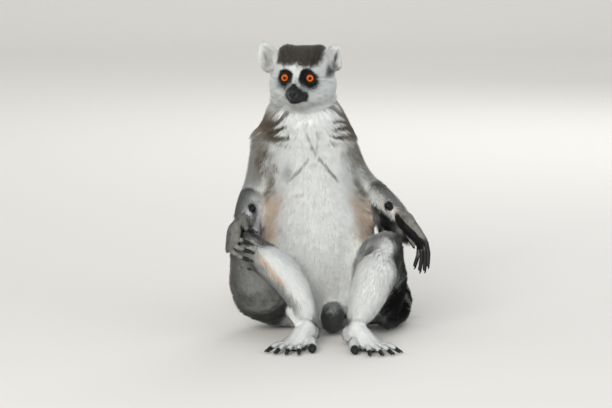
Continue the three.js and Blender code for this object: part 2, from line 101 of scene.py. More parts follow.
def new_material(name):
    """An empty material with its output node, and its tree."""
    made = bpy.data.materials.new(name)
    made.use_nodes = True
    made.node_tree.nodes.clear()
    return made, made.node_tree, made.node_tree.nodes.new("ShaderNodeOutputMaterial")


def add_object(name, data):
    """An object in the scene with this mesh, lamp or camera."""
    made = bpy.data.objects.new(name, data)
    scene.collection.objects.link(made)
    return made


def smooth(mesh):
    """Makes every face of a mesh smooth."""
    for face in mesh.polygons:
        face.use_smooth = True


scene = bpy.context.scene
scene.view_settings.view_transform = "Standard"

camera = add_object("camera", bpy.data.cameras.new("camera"))
to_camera = Vector((0, -math.cos(VIEW_RISE), math.sin(VIEW_RISE)))
camera.location = VIEW_AIM + to_camera * VIEW_DISTANCE
camera.rotation_euler = to_camera.to_track_quat("Z", "Y").to_euler()
camera.data.sensor_width = SENSOR
camera.data.lens = SENSOR * VIEW_DISTANCE / VIEW_WIDTH
camera.data.clip_end = 50
scene.camera = camera

world = bpy.data.worlds.new("room")
scene.world = world
world.use_nodes = True
world.node_tree.nodes.clear()
room = add_node(world.node_tree, "ShaderNodeBackground", {"Color": linear("#F4F6F8"), "Strength": 0.66})
room_out = world.node_tree.nodes.new("ShaderNodeOutputWorld")
world.node_tree.links.new(room.outputs[0], room_out.inputs["Surface"])

for name, place, aim, width, power, colour in (
    ("key", (-0.9, -2.8, 1.35), VIEW_AIM, 1.3, 56, "#FFFAF4"),
    ("fill", (2.2, -1.8, 0.9), VIEW_AIM, 1.8, 14, "#F4F7FF"),
    ("rim", (0.8, 2.2, 1.6), VIEW_AIM, 1.2, 16, "#FFFFFF"),
    ("backdrop", (0.0, 2.6, 3.2), Vector((0.0, 4.6, 0.3)), 2.5, 24, "#FFFDF8"),
):
    lamp = add_object(name, bpy.data.lights.new(name, "AREA"))
    lamp.data.size = width
    lamp.data.energy = power
    lamp.data.color = linear(colour)[:3]
    lamp.location = place
    lamp.rotation_euler = (Vector(place) - aim).to_track_quat("Z", "Y").to_euler()

backdrop_profile = [(-FLOOR_REACH, 0.0), (BACKDROP_AWAY, 0.0)]
backdrop_profile += [
    (BACKDROP_AWAY + BACKDROP_BEND * math.sin(a), BACKDROP_BEND - BACKDROP_BEND * math.cos(a))
    for a in np.linspace(0.1, math.pi / 2, 12)
]
backdrop_profile.append((BACKDROP_AWAY + BACKDROP_BEND, FLOOR_REACH))
backdrop = bpy.data.meshes.new("backdrop")
backdrop.from_pydata(
    [(x, y, z) for y, z in backdrop_profile for x in (-FLOOR_REACH, FLOOR_REACH)],
    [],
    [(2 * i, 2 * i + 1, 2 * i + 3, 2 * i + 2) for i in range(len(backdrop_profile) - 1)],
)
smooth(backdrop)

# Painted paper: matt, with a grain that is only just felt.
paper, tree, out = new_material("painted_studio_paper")
grain = add_node(tree, "ShaderNodeTexNoise", {"Scale": 900.0, "Detail": 2.0})
relief = add_node(
    tree, "ShaderNodeBump", {"Height": grain.outputs["Fac"], "Strength": 0.05, "Distance": 0.2 * MM}
)
matt = add_node(
    tree,
    "ShaderNodeBsdfPrincipled",
    {"Base Color": linear(FLOOR_COLOUR), "Roughness": 0.9, "Normal": relief.outputs[0]},
)
tree.links.new(matt.outputs[0], out.inputs["Surface"])
backdrop.materials.append(paper)
floor = add_object("floor", backdrop)


# ---- Skin ---------------------------------------------------------------------------------------
# One unbroken skin over head, trunk, limbs and tail, bare and black on nose, lips and wrist glands.
# It lies under the solids' outline by the depth of the coat at each place, with the joins between
# the solids smoothed away. Hands and feet have finer skins of their own.

VOXEL = 1.25 * MM
COARSE = 4  # a rougher grid, this many voxels to a step, holds what varies slowly
JOIN = 0.6 * MM  # the gaps between the solids close when each grows by this
FORM_DEPTH = 16 * MM  # how far under the outline distances are kept

# Depth of the coat over each part in mm, how far its form is rounded (0 keeps it, 2 is softest), and
# how far the coat fills the hollows between it and its neighbours.
COAT_DEPTH = {
    "head": (6.0, 1.0, 0.2), "muzzle": (0.9, 0.7, 0.0), "jaw": (1.0, 0.7, 0.0), "nose": (0.0, 0.3, 0.0),
    "neck": (8.5, 1.7, 1.0), "chest": (8.0, 2.0, 1.0), "belly": (7.0, 2.0, 0.8), "crotch": (1.5, 1.0, 0.0),
    "ear": (-0.3, 0.0, 0.0), "eye": (2.2, 1.0, 0.0), "upper_arm": (7.0, 1.9, 1.0),
    "forearm": (5.0, 1.6, 0.5), "hand": (4.0, 1.6, 0.0), "wrist_gland": (0.0, 0.4, 0.0),
    "thigh": (7.5, 2.0, 0.8), "shank": (6.0, 1.8, 0.7), "foot": (5.0, 1.8, 0.0), "tail": (10.0, 2.0, 0.0),
}
ENDS = ("hand_right", "hand_left", "foot_right", "foot_left")  # these have a finer skin of their own
BRIDGE = 9 * MM  # hollows narrower than twice this are filled
FACE_DEPTH = 2.2  # depth of the coat on the face, where it is shorter than on the rest of the head
FOLD_BLEND = 6 * MM  # how softly a fold of skin runs into the form
THINNED_TO = 0.32  # share of the skin's faces that stays where long hair hides them
PARTS = sorted(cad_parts)


def kind_of(part):
    return next(k for k in sorted(COAT_DEPTH, key=len, reverse=True) if part.startswith(k))


def triangles_of(mesh):
    """The corners of a mesh's triangles."""
    mesh.calc_loop_triangles()
    corners = np.empty(3 * len(mesh.loop_triangles), np.int32)
    mesh.loop_triangles.foreach_get("vertices", corners)
    return corners.reshape(-1, 3)


def cad_surface(parts):
    """The points and triangles of these solids together."""
    points, faces, count = [], [], 0
    for part in parts:
        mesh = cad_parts[part].data
        co = np.empty(3 * len(mesh.vertices), np.float32)
        mesh.vertices.foreach_get("co", co)
        points.append(co.reshape(-1, 3))
        faces.append(triangles_of(mesh) + count)
        count += len(mesh.vertices)
    return np.concatenate(points), np.concatenate(faces).astype(np.uint32)


def distances(surface, step, low, shape, outside, inside):
    """Signed distances to a surface on a grid of that step, negative inside."""
    points, faces = surface
    grid = openvdb.FloatGrid.createLevelSetFromPolygons(
        points,
        triangles=faces if faces.shape[1] == 3 else None,
        quads=faces if faces.shape[1] == 4 else None,
        transform=openvdb.createLinearTransform(voxelSize=step),
        exBandWidth=float(outside),
        inBandWidth=float(inside),
    )
    field = np.empty(shape, np.float32)
    grid.copyToArray(field, ijk=tuple(int(i) for i in low))
    return field


def blurred(field, sigma):
    """A field smoothed along each axis by a bell curve of that many steps."""
    reach = max(1, math.ceil(2.2 * sigma))
    bell = np.exp(-0.5 * (np.arange(-reach, reach + 1) / sigma) ** 2).astype(np.float32)
    bell /= bell.sum()
    for axis in range(3):
        made = bell[reach] * field
        for shift in range(1, reach + 1):
            ahead = [slice(None)] * 3
            behind = [slice(None)] * 3
            ahead[axis], behind[axis] = slice(shift, None), slice(None, -shift)
            made[tuple(behind)] += bell[reach + shift] * field[tuple(ahead)]
            made[tuple(ahead)] += bell[reach + shift] * field[tuple(behind)]
        field = made
    return field


def refined(field, times, shape):
    """A coarse field on a grid that is so many times finer, between its values in a straight line."""
    for axis, size in enumerate(shape):
        at = np.arange(size) / times
        low = np.minimum(at.astype(int), field.shape[axis] - 2)
        share = (at - low).astype(np.float32).reshape([-1 if a == axis else 1 for a in range(3)])
        field = field.take(low, axis) * (1 - share) + field.take(low + 1, axis) * share
    return field


def sampled(fields, origin, step, points):
    """Values of fields, whose last axis may hold several, at points, in a straight line between steps."""
    at = (points - origin) / step
    low = np.clip(np.floor(at).astype(int), 0, np.array(fields.shape[:3]) - 2)
    share = np.clip(at - low, 0, 1)
    made = 0
    for i in range(8):
        corner = np.array([i & 1, i >> 1 & 1, i >> 2 & 1])
        weight = np.prod(np.where(corner, share, 1 - share), 1)
        x, y, z = (low + corner).T
        made = made + fields[x, y, z] * (weight[:, None] if fields.ndim == 4 else weight)
    return made


# The head's own frame, from the places of the two eyes: x to its left, y back, z up.
HEAD_TURN = math.radians(-12)
HEAD_NOD = math.radians(8)
EYE_FORWARD, EYE_UP = 27.5, 4.0  # of the eyes' middle from the head's middle
eye_middle = {s: sum(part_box(f"eye_{s}"), Vector()) / 2 for s in ("right", "left")}
EYE_RADIUS = (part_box("eye_left")[1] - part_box("eye_left")[0]).z / 2 / MM
head_turn = np.array(Matrix.Rotation(HEAD_TURN, 3, "Z") @ Matrix.Rotation(HEAD_NOD, 3, "X"))
head_middle = np.array((eye_middle["left"] + eye_middle["right"]) / 2) / MM
head_middle = head_middle - head_turn @ np.array([0, -EYE_FORWARD, EYE_UP])

# Places of folds, joints and tail are given as in the solids' own source, which measures from
# another point, so the shift is added to them.
SOURCE_HEAD = np.array([-18.2, -8, 306.5])
shift = head_middle - SOURCE_HEAD


def in_head(points):
    """Points in the head's frame, in mm."""
    return (points / MM - head_middle) @ head_turn


def from_head(x, y, z):
    return (head_turn @ np.array([x, y, z]) + head_middle) * MM


def grid_steps(low, high):
    """The whole-numbered places of a grid from low up to high."""
    return np.stack(np.meshgrid(*[np.arange(a, b) for a, b in zip(low, high)], indexing="ij"), -1)


def near_line(p, a, b):
    """Distance of points from the stretch a to b."""
    a, b = np.array(a, float), np.array(b, float)
    along = np.clip((p - a) @ (b - a) / ((b - a) @ (b - a)), 0, 1)
    return np.linalg.norm(p - a - along[..., None] * (b - a), axis=-1)


def ramp(low, high, value):
    """0 below low, 1 above high, and smooth between; low may be the larger."""
    t = np.clip((value - low) / (high - low), 0, 1)
    return t * t * (3 - 2 * t)


skin_low = np.floor((np.array(cad_box[0]) - 8 * MM) / VOXEL / COARSE).astype(int) * COARSE
skin_high = np.ceil((np.array(cad_box[1]) + 8 * MM) / VOXEL / COARSE).astype(int) * COARSE
skin_shape = tuple(skin_high - skin_low)
coarse_shape = tuple((skin_high - skin_low) // COARSE + 1)
coarse_step, coarse_origin = VOXEL * COARSE, skin_low * VOXEL

# How much each part has a say at each place, from its distance.
SAY_FADES = 3.0 * MM
part_fields = np.stack(
    [distances(cad_surface([p]), coarse_step, skin_low // COARSE, coarse_shape, 5, 9) for p in PARTS], -1
)
part_fields = np.exp(-np.maximum(part_fields, -22 * MM) / SAY_FADES)
grid_points = grid_steps((0, 0, 0), coarse_shape).reshape(-1, 3) * coarse_step + coarse_origin
x, y, z = in_head(grid_points).T
beside = (ramp(27, 31, np.abs(x)) * ramp(4, 9, z)).reshape(coarse_shape)
part_fields[..., PARTS.index("ear_right")] += beside * (x < 0).reshape(coarse_shape)
part_fields[..., PARTS.index("ear_left")] += beside * (x > 0).reshape(coarse_shape)
part_fields /= part_fields.sum(-1, keepdims=True)

depth = (part_fields @ np.array([COAT_DEPTH[kind_of(p)][0] for p in PARTS])).ravel()
head_say = part_fields[..., [PARTS.index("head")]].ravel()
face = ramp(-12, -34, y) * ramp(34, 22, np.abs(x)) * ramp(26, 18, z)
fuller = 2.5 * ramp(-4, -14, z) + 1.5 * ramp(5, 20, y)  # under the cheeks and at the nape
depth += head_say * (face * (FACE_DEPTH - COAT_DEPTH["head"][0]) + (1 - face) * fuller)
depth = depth.reshape(coarse_shape).astype(np.float32) * MM
softness = (part_fields @ np.array([COAT_DEPTH[kind_of(p)][1] for p in PARTS])).astype(np.float32)
bridging = (part_fields @ np.array([COAT_DEPTH[kind_of(p)][2] for p in PARTS])).astype(np.float32)


def outlined(field, level, voxel, low):
    """The surface where a field on a grid has that value."""
    grid = openvdb.FloatGrid(float(field.max()))
    grid.copyFromArray(field, ijk=tuple(int(i) for i in low))
    grid.transform = openvdb.createLinearTransform(voxelSize=voxel)
    return grid.convertToQuads(isovalue=level)


def array_mesh(name, points, faces):
    """A mesh from arrays of points and of faces, which all have the same number of corners."""
    made = bpy.data.meshes.new(name)
    made.vertices.add(len(points))
    made.vertices.foreach_set("co", points.astype(np.float32).ravel())
    made.loops.add(faces.size)
    made.loops.foreach_set("vertex_index", faces.astype(np.int32).ravel())
    made.polygons.add(len(faces))
    starts = np.arange(0, faces.size, faces.shape[1], dtype=np.int32)
    made.polygons.foreach_set("loop_start", starts)
    made.update(calc_edges=True)
    return made


def thinned(thing, share, group=""):
    """The mesh of an object with only that share of its faces, all over or in one vertex group."""
    thin = thing.modifiers.new("thin", "DECIMATE")
    thin.ratio = share
    thin.vertex_group = group
    made = bpy.data.meshes.new_from_object(thing.evaluated_get(bpy.context.evaluated_depsgraph_get()))
    thing.modifiers.clear()
    return made


whole = distances(cad_surface([p for p in PARTS if p not in ENDS]), VOXEL, skin_low, skin_shape, 3, 3)
outline = outlined(whole, JOIN, VOXEL, skin_low)
whole = distances(outline, VOXEL, skin_low, skin_shape, 5, FORM_DEPTH / VOXEL)

# Folds of loose skin and long hair, which hang from the forearms and close the way to the knees.
# The left one takes the black painted shadow under its forearm.
for start, end, thick in (
    ((-73, -8, 152), (-74, -38, 98), 11.0), ((64, 2, 152), (98, -36, 125), 11.0),
    ((64, -10, 144), (80, -30, 112), 10.0),
):
    start, end = (np.array(start) + shift) * MM, (np.array(end) + shift) * MM
    low = np.floor((np.minimum(start, end) - 16 * MM) / VOXEL).astype(int) - skin_low
    high = np.ceil((np.maximum(start, end) + 16 * MM) / VOXEL).astype(int) - skin_low
    block = tuple(slice(a, b) for a, b in zip(low, high))
    fold = near_line((grid_steps(low, high) + skin_low) * VOXEL, start, end) - thick * MM
    overlap = np.maximum(FOLD_BLEND - np.abs(whole[block] - fold), 0)
    whole[block] = np.minimum(whole[block], fold) - overlap**2 / (4 * FOLD_BLEND)

# The coat's own outline: the solids' outline with its hollows filled where the fur is thick.
rough, rough_low = 2 * VOXEL, skin_low // 2
rough_shape = tuple(np.array(skin_shape) // 2 + 1)
swollen = distances(outline, rough, rough_low, rough_shape, BRIDGE / rough + 3, 3)
swollen = outlined(swollen, BRIDGE, rough, rough_low)
swollen = distances(swollen, rough, rough_low, rough_shape, 4, (BRIDGE + FORM_DEPTH) / rough)
filled = np.minimum(refined(swollen, 2, skin_shape) + BRIDGE, whole)
whole += (filled - whole) * refined(bridging, COARSE, skin_shape)
fine = blurred(whole, 0.9 * MM / VOXEL)
middle = blurred(fine, 1.7 * MM / VOXEL)
wide = blurred(middle, 3.4 * MM / VOXEL)
soft = refined(softness, COARSE, skin_shape)
form = fine + (middle - fine) * np.clip(soft, 0, 1) + (wide - middle) * np.clip(soft - 1, 0, 1)
form += refined(depth, COARSE, skin_shape) + JOIN

skin_points, skin_quads = outlined(np.clip(form, -3 * VOXEL, 3 * VOXEL), 0.0, VOXEL, skin_low)
skin = add_object("skin", array_mesh("skin", skin_points, skin_quads))

# The skin is coarse under the long coat and stays fine on the face and ears.
FINE_KINDS = ("head", "muzzle", "jaw", "nose", "eye", "ear", "wrist_gland")
fine_say = part_fields @ np.array([float(kind_of(p) in FINE_KINDS) for p in PARTS])
hidden = sampled(fine_say, coarse_origin, coarse_step, skin_points) < 0.5
skin.vertex_groups.new(name="hidden").add(np.flatnonzero(hidden).tolist(), 1.0, "REPLACE")
finished = thinned(skin, THINNED_TO, "hidden")
skin.vertex_groups.clear()
skin.data = finished


def corners_of(mesh):
    """A mesh's points in metres and its unit normals."""
    co = np.empty(3 * len(mesh.vertices), np.float32)
    out = np.empty(3 * len(mesh.vertices), np.float32)
    mesh.vertices.foreach_get("co", co)
    mesh.vertex_normals.foreach_get("vector", out)
    return co.reshape(-1, 3).astype(float), out.reshape(-1, 3).astype(float)


def unit(vectors):
    return vectors / np.maximum(np.linalg.norm(vectors, axis=-1, keepdims=True), 1e-9)


def slope(field, points, reach):
    """The direction in which a field on the skin's grid grows."""
    steps = np.eye(3) * reach
    ahead = [sampled(field, coarse_origin, VOXEL, points + s) for s in steps]
    behind = [sampled(field, coarse_origin, VOXEL, points - s) for s in steps]
    return (np.array(ahead) - np.array(behind)).T / (2 * reach)


# The front of the face is made finer, laid on the form again, and modelled: nostrils, the cleft
# below them, the line of the mouth, whisker pads and brows. Places are in the head's frame, in mm.
NOSE_TIP = in_head(np.array(sum(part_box("nose"), Vector()) / 2)[None])[0] - [0, 4.6, -0.3]
MUZZLE_MIDDLE = -1.2


def mouth_rise(y):
    """Height of the line of the mouth, which rises a little at its corners."""
    return -17.2 + 0.006 * np.maximum(y + 50, 0) ** 2


face_mesh = bmesh.new()
face_mesh.from_mesh(finished)
for front, low, high in ((-24, -27, 19), (-44, -24, 2)):
    chosen = set()
    for quad in face_mesh.faces:
        x, y, z = in_head(np.array(quad.calc_center_median())[None])[0]
        if y < front and low < z < high:
            chosen.update(quad.edges)
    bmesh.ops.subdivide_edges(face_mesh, edges=list(chosen), cuts=1, use_grid_fill=True)
bmesh.ops.triangulate(face_mesh, faces=[f for f in face_mesh.faces if len(f.verts) > 4])
face_mesh.to_mesh(finished)
face_mesh.free()

points, normals = corners_of(finished)
at = in_head(points)
front = (at[:, 1] < -24) & (at[:, 2] > -27) & (at[:, 2] < 19) & (np.abs(at[:, 0]) < 40)
for _ in range(2):
    place = points[front]
    way = slope(form, place, 0.6 * VOXEL)
    step = sampled(form, coarse_origin, VOXEL, place) / np.maximum((way**2).sum(1), 0.2)
    points[front] = place - way * np.clip(step, -0.5 * MM, 0.5 * MM)[:, None]

x, y, z = at.T
nose_y, nose_z = y - NOSE_TIP[1], z - NOSE_TIP[2]


def dent(distance, width):
    """1 on a line or spot and 0 from its width on."""
    return np.clip(1 - (distance / width) ** 2, 0, 1) ** 2


side_x = np.abs(x - MUZZLE_MIDDLE)
beside_hole = side_x - 3.1 - 0.35 * np.clip(nose_y, 0, 4)
nostril = np.hypot(beside_hole / 1.5, (nose_z - 0.5 - 0.25 * nose_y) / 1.25)
nostril = dent(np.hypot(nostril, np.clip(nose_y - 3.2, 0, 9) / 1.6), 1.0)
cleft = dent(x - MUZZLE_MIDDLE, 1.1) * ramp(-2.2, -3.4, nose_z) * ramp(4.5, 3.0, nose_y)
mouth = dent(z - mouth_rise(y), 1.0) * ramp(-36, -40, y)
pad = dent(np.hypot((side_x - 6.4) / 4.5, np.hypot((y + 54) / 7, (z + 14) / 3.4)), 1.0)
brow = dent(np.hypot((side_x - 14) / 11, (z - 13.5) / 4.5), 1.0) * ramp(-22, -28, y)
rim = dent(np.hypot((side_x - 3.4) / 3.0, (nose_z - 0.5) / 2.7), 1.0) * ramp(6, 3, nose_y) * (1 - nostril)
push = 0.9 * pad + 1.3 * brow + 0.5 * rim - 2.0 * nostril - 0.8 * cleft - 1.1 * mouth
points += normals * (push * front * MM)[:, None]
finished.vertices.foreach_set("co", points.astype(np.float32).ravel())
smooth(finished)
finished.update()


# ---- Markings -----------------------------------------------------------------------------------
# What a ring-tailed lemur's coat is coloured like: white face, throat, chest and belly, a dark cap
# and eye patches, black muzzle, brown-grey back and outer limbs, a ringed tail. Painted light and
# shade are laid in too: black painted shadow under the left forearm and on the left haunch,
# painted shade along the chest's partings, in the ears' cups, at the locks' roots and on the skin
# between them, and painted light on the right arm. The skin and every lock take their colour from
# the same functions of place. Places are in mm.

PAINT = {
    name: np.array(linear(code)[:3])
    for name, code in {
        "white": "#F5F9F7",
        "shade": "#AEB5B4",
        "grey": "#9DA09D",
        "brown_grey": "#756C60",
        "dark": "#2B2927",
        "cap": "#26221F",
        "black": "#0F0E0F",
        "buff": "#DDBB98",
    }.items()
}
# Joints of the limbs, the ways in which the feet point, and the tail's middle line.
JOINTS = {
    "right": {
        "shoulder": (-57, 0, 226), "elbow": (-74, 38, 163), "wrist": (-90, -56, 136),
        "knuckles": (-100, -90, 117), "haunch": (-66, -22, 52), "knee": (-83, -72, 108),
        "ankle": (-14, -104, 26),
    },
    "left": {
        "shoulder": (21, 0, 228), "elbow": (54, 40, 168), "wrist": (103, -44, 138),
        "knuckles": (123, -62, 113), "haunch": (68, -22, 51), "knee": (80, -72, 109),
        "ankle": (44, -112, 26),
    },
}
JOINTS = {side: {k: v + shift for k, v in joints.items()} for side, joints in JOINTS.items()}
FOOT_TURN = {"right": math.radians(-24), "left": math.radians(29)}
FOOT_AHEAD = {s: np.array([math.sin(a), -math.cos(a), 0]) for s, a in FOOT_TURN.items()}
TAIL_LINE = shift + np.array([
    (0, 62, 44), (-16, 100, 25), (-52, 140, 19.5), (-72, 192, 21), (-52, 244, 22), (0, 264, 23),
    (50, 240, 24), (76, 192, 24.5), (88, 138, 24.5), (97, 86, 22.5), (98, 42, 19), (94, 4, 16.5),
    (84, -26, 13),
])
TAIL_RINGS = 13

# Tips of the fingers and toes, each with the way in which its last joint points and its nail faces.
# The thumb and the great toe come last.
UP = np.array([0, 0, 1.0])
digit_ends = {}
for side, j in JOINTS.items():
    out = -1.0 if side == "right" else 1.0
    ahead = FOOT_AHEAD[side]
    inward = np.array([-out * math.cos(FOOT_TURN[side]), -out * math.sin(FOOT_TURN[side]), 0])
    ball = j["ankle"] * [1, 1, 0]
    toes = []
    for to_inner, long in zip((9.6, 3.0, -3.6, -10.2), (19, 24, 25, 20)):
        way = unit(ahead * (0.55 * long) + inward * (0.5 * to_inner) - [0, 0, 4.8])
        toe = ball + ahead * (44 + long) + inward * (1.95 * to_inner) + [0, 0, 3.4]
        toes.append((toe, way, UP))
    great = unit(ahead * 19 + inward * 9 - [0, 0, 4])
    toes.append((ball + ahead * 44 + inward * 27 + [0, 0, 5], great, UP))
    digit_ends[f"foot_{side}"] = toes
fingers = []
for up, turned in zip((19.5, 9.7, -0.1, -9.9), (0.1, 0.16, 0.1, 0.0)):
    around = np.array([math.sin(turned), -math.cos(turned), 0])
    away = 24.5 * (0.93 if up > 15 else 1.0)
    way = unit(np.array([math.cos(turned), math.sin(turned), -0.35]))
    fingers.append((JOINTS["right"]["knee"] + away * around + [0, 0, up - 9], way, around))
thumb = JOINTS["right"]["knee"] + [23 * math.sin(0.35), -23 * math.cos(0.35), 24]
fingers.append((thumb, unit(np.array([0.9, -0.3, -0.3])), unit(np.array([0.1, -0.7, 0.7]))))
digit_ends["hand_right"] = fingers
across = unit(np.array([0.35, -0.9, 0.25]))
palm_way = unit(np.array([-0.9, -0.3, 0]))
fingers = []
for spread, long in zip((10.4, 3.3, -3.8, -10.9), (27, 31, 30, 24)):
    down = unit(np.array([0.2 + 0.012 * spread, -0.22, -0.96]))
    way = unit(down * long + palm_way * 10)
    finger = JOINTS["left"]["knuckles"] + across * spread + down * long + palm_way * 7
    fingers.append((finger, way, -palm_way))
thumb = JOINTS["left"]["knuckles"] + palm_way * 9 - across * 8
fingers.append((thumb, unit(np.array([0.4, -0.4, -0.8])), -across))
digit_ends["hand_left"] = fingers


def past_wrist(p, side):
    """How far in mm places lie from the wrist towards the knuckles."""
    j = JOINTS[side]
    return (p - j["wrist"]) @ unit(j["knuckles"] - j["wrist"])


def back_of_hand(p, side):
    """The way out of the back of the hand: round the knee on the right, outwards on the left."""
    if side == "left":
        return unit(np.array([0.85, 0.0, 0.5])) + 0 * p
    return unit((p - JOINTS["right"]["knee"]) * [1, 1, 0] + [0, 0, 12])


def from_tip(p, node):
    """Distance in mm from the nearest finger or toe tip."""
    return np.min([np.linalg.norm(p - end, axis=1) for end, _, _ in digit_ends[node]], axis=0)


gland_at = {s: np.array(sum(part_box(f"wrist_gland_{s}"), Vector())) / 2 / MM for s in JOINTS}
ear_at = {s: in_head(np.array(sum(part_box(f"ear_{s}"), Vector())) / 2) for s in JOINTS}


def curve_through(stations, steps):
    """Points on a smooth line through stations."""
    ends = np.concatenate([[2 * stations[0] - stations[1]], stations, [2 * stations[-1] - stations[-2]]])
    t = np.arange(steps)[:, None] / steps
    pieces = [
        0.5 * (2 * b + (c - a) * t + (2 * a - 5 * b + 4 * c - d) * t**2 + (3 * b - a - 3 * c + d) * t**3)
        for a, b, c, d in zip(ends, ends[1:], ends[2:], ends[3:])
    ]
    return np.concatenate([*pieces, stations[-1:]])


tail_middle = curve_through(TAIL_LINE, 10)
tail_ways = unit(np.gradient(tail_middle, axis=0))
tail_run = np.concatenate([[0], np.cumsum(np.linalg.norm(np.diff(tail_middle, axis=0), axis=1))])
tail_run /= tail_run[-1]


def nearest_run(p):
    """The nearest place of the tail's middle line, as an index."""
    best = np.zeros(len(p), int)
    far = np.full(len(p), np.inf)
    for i, place in enumerate(tail_middle):
        away = ((p - place) ** 2).sum(1)
        closer = away < far
        best[closer], far[closer] = i, away[closer]
    return best


def noise(points, size, seed):
    """Smooth random values from -1 to 1 with lumps of that size, the same on each run."""
    q = points / size + seed * 17.31
    cell = np.floor(q).astype(np.int64)
    f = q - cell
    f = f * f * (3 - 2 * f)
    made = 0
    for i in range(8):
        corner = np.array([i & 1, i >> 1 & 1, i >> 2 & 1])
        key = ((cell + corner) * np.array([73856093, 19349663, 83492791])).sum(1) + seed * 2654435
        key = (key ^ (key >> 13)) * 1274126177 & 0x7FFFFFFF
        value = ((key ^ (key >> 16)) & 0xFFFF) / 32767.5 - 1
        made = made + value * np.prod(np.where(corner, f, 1 - f), 1)
    return made


def say_of(say, *kinds):
    """How far each place belongs to parts of these kinds or names."""
    chosen = [i for i, p in enumerate(PARTS) if p in kinds or kind_of(p) in kinds]
    return say[:, chosen].sum(1)


def aside(p, a, b, way):
    """How far points lie from the line a to b in one direction, and how far along it from 0 to 1."""
    axis = b - a
    t = np.clip((p - a) @ axis / (axis @ axis), 0, 1)
    way = way - axis * (way @ axis) / (axis @ axis)
    return (p - a - t[:, None] * axis) @ (way / np.linalg.norm(way)), t


class Markings:
    """Places on the coat or skin, in mm, and the linear colours laid on them so far."""

    def __init__(self, points, say, normals, chance):
        self.points, self.say, self.normals, self.chance = points, say, normals, chance
        self.p = points / MM
        self.ragged = 0.6 * noise(self.p, 7.0, 1) + 0.4 * noise(self.p, 2.6, 2) + 1.2 * (chance - 0.5)
        self.colour = np.tile(PAINT["white"], (len(points), 1))

    def lay(self, name, amount):
        """Lays a colour over what is there, by an amount from 0 to 1 at each place."""
        self.colour = self.colour + (PAINT[name] - self.colour) * np.clip(amount, 0, 1)[:, None]

    def edge(self, value, width=1.0):
        """0 to 1 as a signed distance in mm passes 0, with the edge broken into locks."""
        return ramp(-0.5 * width, 0.5 * width, value + self.ragged * width * 0.9)


def mark_trunk(on):
    """White in front, brown-grey behind, buff where the two meet on the flanks."""
    p, say, ragged, lay, edge = on.p, on.say, on.ragged, on.lay, on.edge
    x, y, z = p.T
    ny = on.normals[:, 1]
    trunk = say_of(say, "chest", "belly")
    around = np.degrees(np.arctan2(x + 14, -(y + 43)))
    lay("shade", trunk * (0.22 + 0.2 * noise(p, 11, 3)) * ramp(30, 56, np.abs(around)))
    lay("shade", trunk * 0.14 * ramp(0.1, 0.7, noise(p, 7, 4)) * ramp(175, 130, z))
    flank = edge(np.abs(around) - 47, 12) * edge(z - 102, 8) * ramp(180, 150, z + 5 * ragged)
    lay("buff", trunk * flank * 0.62)
    lay("brown_grey", trunk * edge((np.abs(around) - 72) * 0.9, 14) * 0.95)
    lay("grey", trunk * ramp(0.2, 0.9, ny) * (0.12 + 0.35 * ramp(215, 120, z + 10 * ragged)))


def mark_neck(on):
    """A white bib whose edge runs out in long teeth over dark sides, and a brown-grey nape."""
    p, say, chance, lay, edge = on.p, on.say, on.chance, on.lay, on.edge
    x, y, z = p.T
    ny = on.normals[:, 1]
    neck = say_of(say, "neck") + say_of(say, "chest") * ramp(226, 238, z)
    turn = np.degrees(np.arctan2(x + 28, -(y + 50)))
    teeth = np.sin(z * 0.62 + 0.08 * np.abs(turn - 9) + 2.6 * noise(p, 12, 5))
    bib = 56 + 12 * teeth + 8 * ramp(262, 285, z) - 8 * ramp(256, 232, z)
    beyond = (np.abs(turn - 9) - bib) * 0.65
    lay("shade", neck * (0.16 + 0.2 * ramp(25, 50, np.abs(turn - 9))))
    lay("brown_grey", neck * edge(beyond, 3))
    inky = ramp(0.3, -0.6, teeth) * dent(np.maximum(beyond - 5, 0), 12)
    lay("black", neck * edge(beyond, 3) * inky * (0.25 + 0.75 * chance))
    lay("dark", neck * ramp(0.1, 0.7, ny) * 0.3 * ramp(225, 262, z))
    for middle, height, wide, tall in ((-66, 243, 17, 19), (36, 245, 18, 19)):
        spot = dent(np.hypot((x - middle) / wide, (z - height) / tall), 1.0) ** 0.5 * ramp(0.5, 0.1, ny)
        spot = spot * ramp(-5, 1, beyond) * (0.5 + 0.5 * ramp(0.4, -0.5, teeth))
        lay("cap", (neck + say_of(say, "chest", "upper_arm")) * spot * (0.5 + 0.5 * chance))


